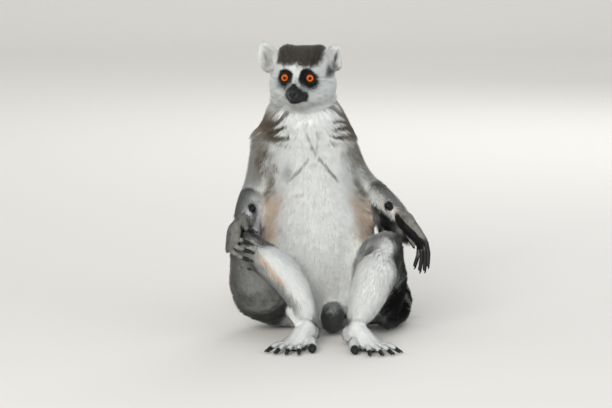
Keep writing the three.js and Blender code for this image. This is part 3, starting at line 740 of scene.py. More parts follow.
def mark_arm(on, side, j):
    """Upper arm: dark over the shoulder and down the outside, white inside. Forearm: grey along the
    top and outside, white below, black painted shadow under the left wrist. The right arm is laid
    lighter than the left, as painted light."""
    p, say, chance, lay, edge = on.p, on.say, on.chance, on.lay, on.edge
    x, y, z = p.T
    arm = say_of(say, f"upper_arm_{side}")
    if side == "right":
        grey = np.maximum(edge(z - 204, 10), edge(-77 - x + (z - 190) * 0.1, 8))
    else:
        grey = np.maximum(edge(z - 196 + (x - 20) * 0.4, 14) * 0.9, edge(x - 36 - (205 - z) * 0.4, 9))
    grey = np.maximum(grey, edge(y + 36, 10))
    lay("brown_grey", arm * grey * ramp(150, 200, z))
    # Painted light: the right upper arm's grey is laid thinner than the left's.
    lay("grey", arm * grey * ramp(200, 150, z) * (0.6 if side == "right" else 1.0))
    streaks = ramp(0.2, 0.8, noise(p * [1, 1, 0.4], 6, 6) + chance - 0.5)
    lay("dark", arm * grey * streaks * ramp(180, 215, z) * 0.7)
    lay("grey", arm * grey * edge(-86 - x if side == "right" else x - 44, 6) * 0.8)

    fore = say_of(say, f"forearm_{side}", f"wrist_gland_{side}")
    if side == "right":
        off, along = aside(p, j["elbow"], j["wrist"], np.array([-1.0, 0.15, 0.25]))
        # Painted light: the right forearm's outside takes the lighter shade grey and only a little grey.
        lay("shade", fore * edge(off + 3, 8) * 0.5)
        lay("grey", fore * edge(off - 3, 8) * 0.4)
    else:
        off, along = aside(p, j["elbow"], j["wrist"], np.array([0.55, 0.1, 0.85]))
        lay("buff", fore * dent(off - 1, 8) * ramp(0.5, 0.65, along) * 0.4)
        lay("grey", fore * edge(off - 5, 7))
        lay("brown_grey", fore * edge(off - 12, 6) * 0.2 * ramp(0.8, 0.5, along))
        # Painted shadow: the left forearm's underside, and the hair hanging from it towards the knee, are
        # laid black.
        lay("black", fore * edge(-8 - off, 4) * ramp(0.35, 0.5, along))


def mark_hand(on, side):
    """Black skin, with grey hair on its back."""
    p, say, normals, chance, lay, edge = on.p, on.say, on.normals, on.chance, on.lay, on.edge
    hand = say_of(say, f"hand_{side}")
    lay("black", hand)
    on_back = (normals * back_of_hand(p, side)).sum(1)
    if side == "right":
        hairy = ramp(-0.1, 0.25, on_back) * hand * edge(from_tip(p, "hand_right") - 8.5, 2)
    else:
        hairy = ramp(-0.3, -0.1, on_back) * hand * edge(40 - past_wrist(p, side), 9)
    lay("brown_grey", hairy)
    lay("grey", hairy * (0.25 + 0.6 * chance))
    lay("dark", hairy * ramp(0.1, 0.7, noise(p, 5, 14)) * 0.5)


def mark_thigh(on, side, outward):
    """Grey outside, with black painted shadow on the outer and low side of the left haunch."""
    p, say, chance, ragged, lay, edge = on.p, on.say, on.chance, on.ragged, on.lay, on.edge
    z = p[:, 2]
    nx, ny, nz = on.normals.T
    thigh = say_of(say, f"thigh_{side}")
    outer = nx * outward * 0.9 + ny * 0.7 - nz * 0.2
    inside = -0.2 if side == "left" else 0.75
    lay("shade", thigh * ramp(-0.6, 0.1, outer) * 0.6)
    lay("grey", thigh * edge((outer + inside) * 18, 9))
    lay("brown_grey", thigh * edge((outer - 0.55) * 18, 8) * 0.3)
    if side == "left":
        # Painted shadow: black on the left haunch's outer side, away from the light, and on its low part.
        turned = nx - 0.7 + 0.8 * ramp(78, 34, z)
        lay("black", thigh * ramp(0.0, 0.45, turned + 0.3 * ragged) * ramp(96, 66, z + 9 * ragged))
        lay("black", thigh * edge(30 - z + 8 * nx, 8) * ramp(0.5, 0.1, -ny))
    else:
        lay("grey", thigh * edge(94 - z, 14))
        specks = ramp(0.1, 0.8, noise(p, 5, 7) + chance - 0.4)
        lay("dark", thigh * specks * (0.2 + 0.35 * ramp(70, 30, z)))


def mark_shank_and_foot(on, side, j):
    """Shank: white above and inside, a buff seam, grey below and outside. Foot: white above, with
    black toe ends and sole."""
    p, say, lay, edge = on.p, on.say, on.lay, on.edge
    shank = say_of(say, f"shank_{side}")
    if side == "right":
        off, along = aside(p, j["knee"], j["ankle"], np.array([-0.72, 0.0, -0.69]))
        seam, seam_colour = -7.0, 0.75
    else:
        off, along = aside(p, j["knee"], j["ankle"], np.array([0.92, 0.1, -0.35]))
        seam, seam_colour = 12 + 8 * np.clip(along / 0.6, 0, 1), 0.1
        lay("shade", shank * dent(along, 0.3) * 0.4)
    lay("buff", shank * dent(off - seam, 7) * ramp(0.72, 0.5, along) * seam_colour)
    lay("grey", shank * edge(off - seam - 2, 6) * ramp(1.0, 0.75, along))
    lay("brown_grey", shank * edge(off - seam - 9, 6) * 0.25 * ramp(0.9, 0.6, along))

    foot = say_of(say, f"foot_{side}")
    ahead = (p - j["ankle"]) @ FOOT_AHEAD[side]
    soles = ramp(-0.35, -0.55, on.normals[:, 2])
    lay("shade", foot * ramp(30, 55, ahead) * 0.35)
    lay("black", foot * np.maximum(edge(6.5 - from_tip(p, f"foot_{side}"), 2), soles))


def mark_chest_lines(on):
    """Painted shade along the lines where the lie of the hair changes, painted shade in the right
    armpit, and a dark spot by the neck.
    """
    p, chance, lay = on.p, on.chance, on.lay
    x, y, z = p.T
    front = ramp(-60, -72, y)
    flat = np.stack([x, 0 * y, z], 1)
    for a, b, wide, dark in (
        ((-58, 244), (-27, 240), 2.2, 0.5), ((-13, 242), (20, 247), 2.0, 0.45),
        ((-26, 240), (-15, 213), 2.4, 0.8), ((-12, 241), (-15, 213), 2.2, 0.65),
        ((-23, 209), (-48, 181), 2.5, 0.9), ((-11, 210), (11, 183), 2.6, 0.95),
        ((-24, 200), (-15, 203), 2.0, 0.6), ((28, 196), (35, 182), 2.2, 0.5),
        ((-40, 166), (-31, 167), 1.8, 0.6),
    ):
        way = near_line(flat, (a[0], 0, a[1]), (b[0], 0, b[1])) + 1.1 * noise(p, 4, 9)
        broken = 0.45 + 0.55 * ramp(-0.5, 0.3, noise(p, 6, 15) + chance - 0.5)
        lay("dark", front * dent(np.maximum(way, 0), wide + 0.4) * dark * 0.72 * broken)
    lay("shade", front * dent(np.hypot((x + 48) / 9, (z - 193) / 17), 1.0) * 0.8)
    lay("dark", front * dent(np.hypot((x + 55) / 3, (z - 227) / 3.4), 1.0) * 0.8)


def mark_tail(on):
    """Rings of white and black, and a black end."""
    p, lay = on.p, on.lay
    tail = say_of(on.say, "tail")
    ringed = tail > 0.02
    run = np.zeros(len(p))
    run[ringed] = tail_run[nearest_run(p[ringed])]
    ring = np.sin(2 * np.pi * (run * 0.93 * TAIL_RINGS + 0.1) + 0.5 * on.ragged)
    lay("black", tail * np.maximum(ramp(-0.12, 0.12, ring - 0.05), ramp(0.915, 0.93, run)))


def mark_head(on):
    """White face, dark cap down to the nape, black round the eyes, black muzzle."""
    p, say, chance, lay, edge = on.p, on.say, on.chance, on.lay, on.edge
    head = say_of(say, "head", "muzzle", "jaw", "nose", "eye")
    hx, hy, hz = in_head(on.points).T
    side_x = np.abs(hx)
    head_up = on.normals @ head_turn[:, 2]
    lay("shade", head * (0.18 + 0.4 * ramp(0.0, 0.7, noise(p * [0.7, 1, 2.4], 5, 8))) * ramp(14, 2, hz))
    brim = 21.5 - 2.2 * ramp(2, 12, side_x)
    beside = edge(27.5 - 1.2 * (hx > 0) - side_x + ramp(-4, -20, -hy) * 20, 3)
    lay("brown_grey", head * edge(hz - brim + 1.5, 3) * beside * ramp(-50, -34, hy) * 0.7)
    capped = head * edge(hz - brim, 4.0) * beside * ramp(-50, -34, hy)
    lay("cap", capped)
    lay("black", capped * 0.4)
    lay("brown_grey", capped * (0.2 * ramp(0.35, 0.95, head_up) + 0.12 * ramp(0.2, 0.9, chance)))
    lay("grey", capped * 0.35 * ramp(0.86, 1.0, chance))
    lay("cap", head * edge(hy - 8 - 0.5 * hz, 9) * edge(hz + 10, 10) * 0.8)
    lay("brown_grey", head * edge(hy - 15, 10) * 0.9)
    band = dent(side_x - 15.8 - 0.2 * (hz - 14), 3.4) * ramp(9, 12, hz) * ramp(-10, -18, hy)
    lay("dark", head * band * 0.5)
    patch = np.hypot((side_x - 14.2 + 0.17 * (hz - 4)) / 10.4, (hz - 4.0) / 12.6)
    around_eye = ramp(-12, -20, hy)
    lay("shade", head * around_eye * ramp(1.55, 1.0, patch) * ramp(4, -6, hz) * 0.8)
    lay("black", head * around_eye * edge((1 - patch) * 10, 1.8 + 2.6 * ramp(2, -8, hz)))
    widest = np.interp(hz, (-18, -12, -5, 1.0, 1.6), (17.0, 12.6, 8.6, 2.6, -3))
    widest = widest + (hx > 0) * np.interp(hz, (-16, -11, -5, 0), (0, 1.8, 1.4, 0))
    snout = np.minimum(widest - np.abs(hx + 0.6), -36.5 + 4.0 * ramp(-2, -12, hz) - hy)
    lay("shade", head * edge(snout + 3.5, 3.5) * 0.5 * ramp(-32, -40, hy))
    lay("black", head * edge(snout, 1.8) * edge(hz + 22.6 + 0.12 * (side_x - 4), 1.4))
    lay("black", head * dent(near_line(np.stack([side_x, hy, hz], 1), (7, -46, -17), (13, -38, -16)), 2.4))
    lay("shade", head * ramp(-21.5, -23.5, hz) * ramp(-32, -42, hy) * 0.8)


def mark_ears(on):
    """White, with grey painted shade in the cup and dark hair low in it."""
    say, chance, lay = on.say, on.chance, on.lay
    ear, head = say_of(say, "ear"), say_of(say, "head", "muzzle", "jaw", "nose", "eye")
    hx, _, hz = in_head(on.points).T
    side_x = np.abs(hx)
    head_front = -(on.normals @ head_turn[:, 1])
    for side, middle in ear_at.items():
        across, up = (side_x - abs(middle[0])), hz - middle[2]
        mine = np.maximum(ear, head * ramp(29, 33, side_x)) * (np.sign(hx) == np.sign(middle[0]))
        cup = dent(np.hypot(across / 11, (up + 1) / 16), 1.0) ** 0.4
        low = dent(np.hypot((across + 1) / 8, (up + 10) / 9), 1.0) ** 0.4
        slit = dent(np.hypot((across - 3 - 0.3 * up) / 3.4, up / 13), 1.0)
        dusky = np.maximum(low, slit) * ramp(-0.1, 0.2, head_front)
        # Painted shade: grey in the hollow of each ear's cup.
        lay("grey", mine * cup * ramp(-0.1, 0.3, head_front) * (0.8 if side == "right" else 0.6))
        lay("black", mine * dusky * (0.45 if side == "right" else 1.1) * (0.6 + 0.6 * chance))


def paint(points, say, normals, chance):
    """Linear colours at points of the coat or skin; chance from 0 to 1 decides a lock's own shade."""
    on = Markings(points, say, normals, chance)
    mark_trunk(on)
    mark_neck(on)
    for side, j in JOINTS.items():
        mark_arm(on, side, j)
        mark_hand(on, side)
        mark_thigh(on, side, -1.0 if side == "right" else 1.0)
        mark_shank_and_foot(on, side, j)
        on.lay("black", ramp(8.0, 6.6, np.linalg.norm(on.p - gland_at[side], axis=1)))
    crotch = say_of(say, "crotch")
    on.lay("black", crotch * 0.95)
    on.lay("shade", crotch * on.edge(on.p[:, 2] - 33, 8) * 0.8)
    mark_chest_lines(on)
    mark_tail(on)
    mark_head(on)
    mark_ears(on)
    return on.colour


def coloured(mesh, name, colours):
    """Writes linear colours, one for each point, to the mesh."""
    kept = mesh.color_attributes.new(name, "FLOAT_COLOR", "POINT")
    rgba = np.ones((len(colours), 4), np.float32)
    rgba[:, :3] = colours
    kept.data.foreach_set("color", rgba.ravel())


skin_points, skin_normals = corners_of(finished)
skin_say = sampled(part_fields, coarse_origin, coarse_step, skin_points)
skin_colours = paint(skin_points, skin_say, skin_normals, np.full(len(skin_points), 0.5))
# Painted shade: the skin, seen only deep between the locks, is laid darker than the hair.
SHADE_UNDER_HAIR = 0.6  # the skin is this much darker than the hair it shows between
coloured(finished, "markings_and_shade", skin_colours * SHADE_UNDER_HAIR)

# Black hide that is bare on nose, lips, palms and soles: finely creased, with a dull gloss, and
# moist on the nose. Elsewhere it only shows between the locks.
hide, tree, out = new_material("bare_black_hide")
markings_and_shade = add_node(tree, "ShaderNodeAttribute", attribute_name="markings_and_shade")
place = add_node(tree, "ShaderNodeTexCoord")
pebbles = add_node(
    tree, "ShaderNodeTexVoronoi", {"Vector": place.outputs["Object"], "Scale": 1 / (0.9 * MM)}
)
creases = add_node(
    tree, "ShaderNodeTexNoise", {"Vector": place.outputs["Object"], "Scale": 1 / (2.2 * MM), "Detail": 4.0}
)
both = add_node(
    tree, "ShaderNodeMath", {0: pebbles.outputs["Distance"], 1: creases.outputs["Fac"]}, operation="ADD"
)
relief = add_node(
    tree, "ShaderNodeBump", {"Height": both.outputs[0], "Strength": 0.5, "Distance": 0.25 * MM}
)
mottle = add_node(
    tree, "ShaderNodeMapRange", {"Value": creases.outputs["Fac"], "To Min": 0.78, "To Max": 1.16}
)
shaded = add_node(
    tree, "ShaderNodeVectorMath", {0: markings_and_shade.outputs["Color"], 1: mottle.outputs[0]}, operation="MULTIPLY"
)
tip = from_head(0, -EYE_FORWARD - 34, -10.5)
to_nose = add_node(
    tree, "ShaderNodeVectorMath", {0: place.outputs["Object"], 1: tip}, operation="DISTANCE"
)
moist = add_node(
    tree,
    "ShaderNodeMapRange",
    {"Value": to_nose.outputs["Value"], "From Min": 6 * MM, "From Max": 9 * MM, "To Min": 0.34,
     "To Max": 0.62},
)
hide_surface = add_node(
    tree,
    "ShaderNodeBsdfPrincipled",
    {"Base Color": shaded.outputs[0], "Roughness": moist.outputs[0], "Normal": relief.outputs[0],
     "Specular IOR Level": 0.42},
)
tree.links.new(hide_surface.outputs[0], out.inputs["Surface"])
finished.materials.append(hide)
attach(skin, "root")
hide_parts(*[p for p in PARTS if kind_of(p) != "eye" and p not in ENDS])


# ---- Hands and feet -----------------------------------------------------------------------------
# Long bare-tipped fingers and toes with leathery black pads. Each hand and foot is modelled finer
# than the body; its cuff is closed and ends inside the limb, under the coat.

FINGER_VOXEL = 0.65 * MM
CUFF_BLEND = 3 * MM
end_points, end_normals, end_corners, end_owner = [], [], [], []
for node in ENDS:
    side = node.split("_")[1]
    j = JOINTS[side]
    if node.startswith("hand"):
        start, far, thick, long, thinner = j["wrist"], j["elbow"], 8.5, 15, 0.15
    else:
        start, far, thick, long, thinner = j["ankle"] + [0, 0, -6], j["knee"], 9.5, 24, 0.35
    up_limb = unit(far - start)
    stub_from, stub_to = (start - 3 * up_limb) * MM, (start + long * up_limb) * MM
    corner, opposite = (np.array(c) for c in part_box(node))
    low = np.minimum(corner, stub_to - thick * MM) - 3 * MM
    high = np.maximum(opposite, stub_to + thick * MM) + 3 * MM
    low = np.floor(low / FINGER_VOXEL).astype(int)
    shape = tuple(np.ceil(high / FINGER_VOXEL).astype(int) - low)
    hand_form = distances(cad_surface([node]), FINGER_VOXEL, low, shape, 6, 20)
    spots = grid_steps((0, 0, 0), shape) * FINGER_VOXEL
    spots += low * FINGER_VOXEL
    stub = near_line(spots, stub_from, stub_to) - thick * MM
    overlap = np.maximum(CUFF_BLEND - np.abs(hand_form - stub), 0)
    hand_form = np.minimum(hand_form, stub) - overlap**2 / (4 * CUFF_BLEND)
    hand_form = blurred(hand_form.astype(np.float32), 0.7 * MM / FINGER_VOXEL)
    hand_form += thinner * MM
    hand_form = np.clip(hand_form, -3 * FINGER_VOXEL, 3 * FINGER_VOXEL)
    hand_points, hand_quads = outlined(hand_form, 0.0, FINGER_VOXEL, low)
    mesh = bpy.data.meshes.new(f"{node}_skin")
    mesh.from_pydata(hand_points.tolist(), [], hand_quads.tolist())
    bare = add_object(f"{node}_skin", mesh)
    mesh = thinned(bare, 0.45)
    bare.data = mesh
    smooth(mesh)
    co, out_ways = corners_of(mesh)
    mine = np.zeros((len(co), len(PARTS)))
    mine[:, PARTS.index(node)] = 1
    coloured(mesh, "markings_and_shade", paint(co, mine, out_ways, np.full(len(co), 0.5)))
    mesh.materials.append(hide)
    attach(bare, "root")
    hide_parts(node)
    end_corners.append(triangles_of(mesh) + len(skin_points) + sum(len(e) for e in end_points))
    end_points.append(co)
    end_normals.append(out_ways)
    end_owner.append(np.full(len(end_corners[-1]), PARTS.index(node)))

# Nails: small dark plates of horn with a dull polish, rounded across and a little hooked, one on
# each finger and toe.
horn, tree, out = new_material("polished_black_horn")
horn_surface = add_node(
    tree,
    "ShaderNodeBsdfPrincipled",
    {"Base Color": linear("#161312"), "Roughness": 0.3, "Specular IOR Level": 0.5},
)
tree.links.new(horn_surface.outputs[0], out.inputs["Surface"])
NAIL = np.array([1.7, 3.0, 0.9])  # half its width, length and thickness
GREAT_TOE = 1.3  # its nail is this much larger


def turned_out(mesh):
    """Turns all faces of a closed mesh outwards."""
    loose = bmesh.new()
    loose.from_mesh(mesh)
    bmesh.ops.recalc_face_normals(loose, faces=loose.faces)
    loose.to_mesh(mesh)
    loose.free()


rounds, turns = 6, 10
ball = [(0, 0, 1.0)]
for r in range(1, rounds):
    for t in range(turns):
        tilt, turn = math.pi * r / rounds, 2 * math.pi * t / turns
        ball.append((math.sin(tilt) * math.cos(turn), math.sin(tilt) * math.sin(turn), math.cos(tilt)))
ball = np.array([*ball, (0, 0, -1.0)])
ball_faces = [(0, 1 + t, 1 + (t + 1) % turns) for t in range(turns)]
for r in range(rounds - 2):
    for t in range(turns):
        a, b = 1 + r * turns + t, 1 + r * turns + (t + 1) % turns
        ball_faces += [(a, a + turns, b + turns), (a, b + turns, b)]
last = len(ball) - 1
ball_faces += [(last, last - turns + (t + 1) % turns, last - turns + t) for t in range(turns)]
nail_points, nail_faces = [], []
for node, ends in digit_ends.items():
    for end, way, face_way in ends:
        width_way = unit(np.cross(way, face_way))
        up_way = np.cross(width_way, way)
        half = NAIL * (GREAT_TOE if "foot" in node and end is ends[-1][0] else 1.0)
        plate = ball * half
        plate[:, 2] -= 0.16 * plate[:, 0] ** 2 + 0.07 * np.maximum(plate[:, 1] + 1, 0) ** 2
        middle = end + way * 2.4 + up_way * 1.5
        placed = middle + plate @ np.stack([width_way, way, up_way])
        placed[:, 2] = np.maximum(placed[:, 2], 0.1)
        nail_faces += [tuple(i + len(nail_points) * len(ball) for i in face) for face in ball_faces]
        nail_points.append(placed * MM)
mesh = bpy.data.meshes.new("nails")
mesh.from_pydata(np.concatenate(nail_points).tolist(), [], nail_faces)
turned_out(mesh)
smooth(mesh)
mesh.materials.append(horn)
nails = add_object("nails", mesh)
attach(nails, "root")


# ---- Eyes ---------------------------------------------------------------------------------------
# Glass eyes: an opaque ball, domed in front and painted deep orange with a small pupil and a dark
# rim, under a thin clear gloss. Black lids, a closed ring each, hold the ball in the head.

IRIS = math.radians(34.5)  # half angle of the coloured disc
PUPIL = math.radians(11)
OPENING_WIDE, OPENING_HIGH = math.radians(44), math.radians(37)
BALL_INSET = 0.25  # how much smaller the ball is than the solid in its place, in mm
DOME = 0.05  # how far the front bulges, as a share of the radius


def ball_mesh(name, rings, turns, shape):
    """A closed mesh of rings of points about an axis, with a point at each end."""
    grid = np.array(
        [[shape(r / rings, 2 * math.pi * t / turns) for t in range(turns)] for r in range(1, rings)]
    )
    ends = [shape(0.0, 0.0), shape(1.0, 0.0)]
    points = np.concatenate([grid.reshape(-1, 3), ends])
    first, last = len(points) - 2, len(points) - 1
    faces = []
    for t in range(turns):
        u = (t + 1) % turns
        faces.append((first, t, u))
        for r in range(rings - 2):
            a, b = r * turns, (r + 1) * turns
            faces.append((a + t, b + t, b + u, a + u))
        a = (rings - 2) * turns
        faces.append((a + t, last, a + u))
    made = bpy.data.meshes.new(name)
    made.from_pydata(points.tolist(), [], faces)
    smooth(made)
    return made


def facing(axis):
    """Right, up and forward directions of something that faces along an axis."""
    forward = unit(np.array(axis, float))
    right = unit(np.cross([0, 0, 1.0], forward))
    return right, np.cross(forward, right), forward


# Painted glass: the iris's paint is matt with fine spokes, and the clear gloss over it gives a small
# bright point of light.
glass, tree, out = new_material("painted_glass_eye")
where = add_node(tree, "ShaderNodeAttribute", attribute_name="from_gaze")
axes = add_node(tree, "ShaderNodeSeparateXYZ", {0: where.outputs["Vector"]})
spokes = add_node(
    tree, "ShaderNodeTexNoise", {"Vector": where.outputs["Vector"], "Scale": 5.0, "Detail": 5.0}
)
angle = add_node(tree, "ShaderNodeMath", {0: axes.outputs["Z"]}, operation="ARCCOSINE")
wobble = add_node(
    tree, "ShaderNodeMath", {0: spokes.outputs["Fac"], 1: 0.05, 2: -0.025}, operation="MULTIPLY_ADD"
)
edge_angle = add_node(tree, "ShaderNodeMath", {0: angle.outputs[0], 1: wobble.outputs[0]}, operation="ADD")
share = add_node(tree, "ShaderNodeMath", {0: edge_angle.outputs[0], 1: math.pi / 2}, operation="DIVIDE")
iris = add_node(tree, "ShaderNodeValToRGB", {"Fac": share.outputs[0]})
stops = (
    (PUPIL * 0.9, "#050303"), (PUPIL * 1.08, "#3A0E02"), (PUPIL * 1.3, "#A83C02"), (IRIS * 0.6, "#CC5602"),
    (IRIS * 0.82, "#DE7204"), (IRIS * 0.93, "#6E2804"), (IRIS * 1.0, "#120805"), (IRIS * 1.3, "#1A120D"),
)
while len(iris.color_ramp.elements) < len(stops):
    iris.color_ramp.elements.new(0.5)
for element, (stop, colour) in zip(iris.color_ramp.elements, stops):
    element.position = stop / (math.pi / 2)
    element.color = linear(colour)
streak = add_node(
    tree, "ShaderNodeMapRange", {"Value": spokes.outputs["Fac"], "To Min": 0.72, "To Max": 1.25}
)
tinted = add_node(
    tree, "ShaderNodeVectorMath", {0: iris.outputs["Color"], 1: streak.outputs[0]}, operation="MULTIPLY"
)
glass_surface = add_node(
    tree,
    "ShaderNodeBsdfPrincipled",
    {"Base Color": tinted.outputs[0], "Roughness": 0.5, "Specular IOR Level": 0.1, "Coat Weight": 0.3,
     "Coat Roughness": 0.02, "Coat IOR": 1.45},
)
tree.links.new(glass_surface.outputs[0], out.inputs["Surface"])

# The lids' hairless black skin, finely folded, which the tears keep a little moist.
lid_hide, tree, out = new_material("wet_black_eyelid")
place = add_node(tree, "ShaderNodeTexCoord")
folds = add_node(
    tree, "ShaderNodeTexNoise", {"Vector": place.outputs["Object"], "Scale": 1 / (0.8 * MM), "Detail": 3.0}
)
relief = add_node(
    tree, "ShaderNodeBump", {"Height": folds.outputs["Fac"], "Strength": 0.4, "Distance": 0.2 * MM}
)
tone = add_node(tree, "ShaderNodeValToRGB", {"Fac": folds.outputs["Fac"]})
tone.color_ramp.elements[0].color = linear("#080707")
tone.color_ramp.elements[1].color = linear("#131111")
lid_surface = add_node(
    tree,
    "ShaderNodeBsdfPrincipled",
    {"Base Color": tone.outputs["Color"], "Roughness": 0.55, "Specular IOR Level": 0.25,
     "Normal": relief.outputs[0]},
)
tree.links.new(lid_surface.outputs[0], out.inputs["Surface"])

# The eyes look a little below the camera and to the animal's right of it.
lowered = Matrix.Rotation(math.radians(7), 3, "X") @ to_camera
gaze = {
    side: np.array(Matrix.Rotation(math.radians(turn), 3, "Z") @ lowered)
    for side, turn in (("right", -11), ("left", 1))
}
opening_at = {}
for side, way in (("right", -1.0), ("left", 1.0)):
    middle = np.array(eye_middle[side])
    right_way, up_way, forward = facing(gaze[side])

    def on_ball(along, around):
        tilt = math.pi * along
        bulge = 1 + DOME * max(0.0, 1 - (tilt / IRIS) ** 2)
        flat = math.sin(tilt) * (math.cos(around) * right_way + math.sin(around) * up_way)
        return middle + (flat + math.cos(tilt) * forward) * (EYE_RADIUS - BALL_INSET) * bulge * MM

    mesh = ball_mesh(f"eyeball_{side}", 40, 40, on_ball)
    co, _ = corners_of(mesh)
    local = unit(co - middle)
    kept = mesh.attributes.new("from_gaze", "FLOAT_VECTOR", "POINT")
    turned = np.stack([local @ right_way, local @ up_way, local @ forward], 1).astype(np.float32)
    kept.data.foreach_set("vector", turned.ravel())
    mesh.materials.append(glass)
    eyeball = add_object(f"eyeball_{side}", mesh)
    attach(eyeball, "root")
    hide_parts(f"eye_{side}")

    # The lids' opening faces between the gaze and the socket's own way; its inner corner runs down.
    socket = head_turn @ np.array([0.18 * way, -0.98, 0.06])
    right_way, up_way, forward = facing(gaze[side] + socket)
    opening_at[side] = (middle, right_way, up_way, forward)
    # A slice through a lid: angles out from the opening's edge, and heights over the ball in mm.
    section = (
        (0.0, -1.2), (0.0, 0.1), (0.04, 0.55), (0.12, 0.9), (0.25, 0.75), (0.42, -0.4), (0.58, -2.0),
        (0.40, -2.6), (0.16, -2.1),
    )
    turns = 44
    points = []
    for t in range(turns):
        around = 2 * math.pi * t / turns
        inner = max(0.0, -way * math.cos(around) * 0.9 - 0.45 * math.sin(around)) ** 6
        half = 1 / math.hypot(math.cos(around) / OPENING_WIDE, math.sin(around) / OPENING_HIGH)
        half += 0.20 * inner
        brow = max(0.0, math.sin(around))
        for spread, rise in section:
            tilt = half + spread
            radius = EYE_RADIUS + rise + (0.35 * brow if rise > 0 else 0.0)
            flat = math.sin(tilt) * (math.cos(around) * right_way + math.sin(around) * up_way)
            points.append(middle + (flat + math.cos(tilt) * forward) * radius * MM)
    across = len(section)
    faces = [
        (t * across + i, t * across + j, u * across + j, u * across + i)
        for t, u in zip(range(turns), [*range(1, turns), 0])
        for i, j in zip(range(across), [*range(1, across), 0])
    ]
    mesh = bpy.data.meshes.new(f"eyelids_{side}")
    mesh.from_pydata([p.tolist() for p in points], [], faces)
    turned_out(mesh)
    smooth(mesh)
    mesh.materials.append(lid_hide)
    lids = add_object(f"eyelids_{side}", mesh)
    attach(lids, "root")


# ---- Coat ---------------------------------------------------------------------------------------
# Dense woolly hair in some three hundred thousand solid locks. Each grows from the skin along the
# lie of the coat and ends near the outline, and neighbours draw together at their tips. They are
# shortest on the muzzle and the face and longest on the ruff and the tail; the ruff's also arch.

# Length and width of a lock in mm, how closely locks stand beside the others of their piece, how
# far neighbours draw together, and the painted shade at the root: the tone there as a share of
# that further out.
LOCKS = {
    "head": (9.5, 0.62, 1.0, 0.25, 0.8), "muzzle": (1.7, 0.45, 2.0, 0.1, 0.8),
    "jaw": (2.6, 0.5, 1.8, 0.1, 0.8), "ear": (4.8, 0.45, 1.8, 0.3, 0.84),
    "neck": (22, 1.15, 1.0, 0.4, 0.76), "chest": (15, 1.2, 1.0, 0.2, 0.93),
    "belly": (15, 1.2, 1.0, 0.18, 0.93), "crotch": (5, 0.8, 1.4, 0.2, 0.8),
    "upper_arm": (15, 1.15, 0.9, 0.35, 0.75), "forearm": (11, 1.0, 1.0, 0.3, 0.78),
    "hand": (5.0, 0.5, 1.8, 0.15, 0.84), "thigh": (14, 1.25, 1.0, 0.28, 0.84),
    "shank": (13, 1.15, 1.0, 0.2, 0.92), "foot": (5.5, 0.52, 1.9, 0.15, 0.92),
    "tail": (19, 1.5, 1.0, 0.3, 0.7),
}
# The kinds of part in each piece, how many locks it has, and whether they arch.
COAT_PIECES = {
    "coat_face": (("head", "muzzle", "jaw"), 46_000, False),
    "coat_crown": (("head", "ear"), 44_000, False),
    "coat_neck": (("neck",), 17_000, True),
    "coat_breast": (("chest", "belly", "crotch"), 46_000, False),
    "coat_back": (("chest", "belly", "crotch"), 32_000, False),
    "coat_arms": (("upper_arm", "forearm", "hand"), 44_000, False),
    "coat_thighs": (("thigh",), 42_000, False),
    "coat_legs": (("shank", "foot"), 40_000, False),
    "coat_tail": (("tail",), 38_000, False),
}
LOCK_SHARE = 1.0


def lie_of(points, say, normals):
    """The direction in which the coat lies at each place."""
    p = points / MM
    local = in_head(points)
    sides = np.sign(local[:, 0])
    lie = np.zeros((len(p), 3))
    swept = unit(local - [0, -58, -10])
    swept += np.stack([sides * 0.1, np.full(len(p), 0.5), -0.3 * (local[:, 2] < 8)], 1)
    lie += say_of(say, "head", "muzzle", "jaw", "nose", "eye")[:, None] * (unit(swept) @ head_turn.T)
    from_base = [local - (ear_at[s] + [-10 * np.sign(ear_at[s][0]), 0, -20]) for s in ("right", "left")]
    from_base = unit(np.where(sides[:, None] < 0, *from_base)) + [0, 0.15, 0]
    lie += say_of(say, "ear")[:, None] * (from_base @ head_turn.T)
    ruff = np.stack([(p[:, 0] + 25) / 24, (p[:, 1] + 50) / 60, np.full(len(p), -1.0)], 1)
    lie += say_of(say, "neck")[:, None] * unit(ruff)
    down = np.stack([(p[:, 0] + 18) / 140, 0 * p[:, 0], np.full(len(p), -1.0)], 1)
    lie += say_of(say, "chest", "belly", "crotch")[:, None] * unit(down)
    for side, j in JOINTS.items():
        for part, a, b in (
            ("upper_arm", "shoulder", "elbow"), ("forearm", "elbow", "wrist"),
            ("wrist_gland", "elbow", "wrist"), ("hand", "wrist", "knuckles"),
            ("thigh", "haunch", "knee"), ("shank", "knee", "ankle"),
        ):
            lie += say_of(say, f"{part}_{side}")[:, None] * unit(j[b] - j[a])
        fingers = say_of(say, f"hand_{side}") * ramp(24, 34, past_wrist(p, side))
        if side == "right":
            off = unit((p - j["knee"]) * [1, 1, 0])
            lie += 3 * fingers[:, None] * np.stack([-off[:, 1], off[:, 0], -0.3 + 0 * off[:, 0]], 1)
        else:
            lie += 3 * fingers[:, None] * np.array([0.2, -0.22, -0.96])
        lie += say_of(say, f"foot_{side}")[:, None] * (FOOT_AHEAD[side] + [0, 0, -0.35])
    lie[:, 2] -= 0.35 * say_of(say, "thigh", "shank") + 0.7 * say_of(say, "forearm_left")
    lie += say_of(say, "tail")[:, None] * tail_ways[nearest_run(p)]
    lie -= normals * (lie * normals).sum(1, keepdims=True)
    return unit(lie)


PALM_TURNED = {"right": 0.05, "left": -0.25}  # how far the bare palm reaches towards the hand's back


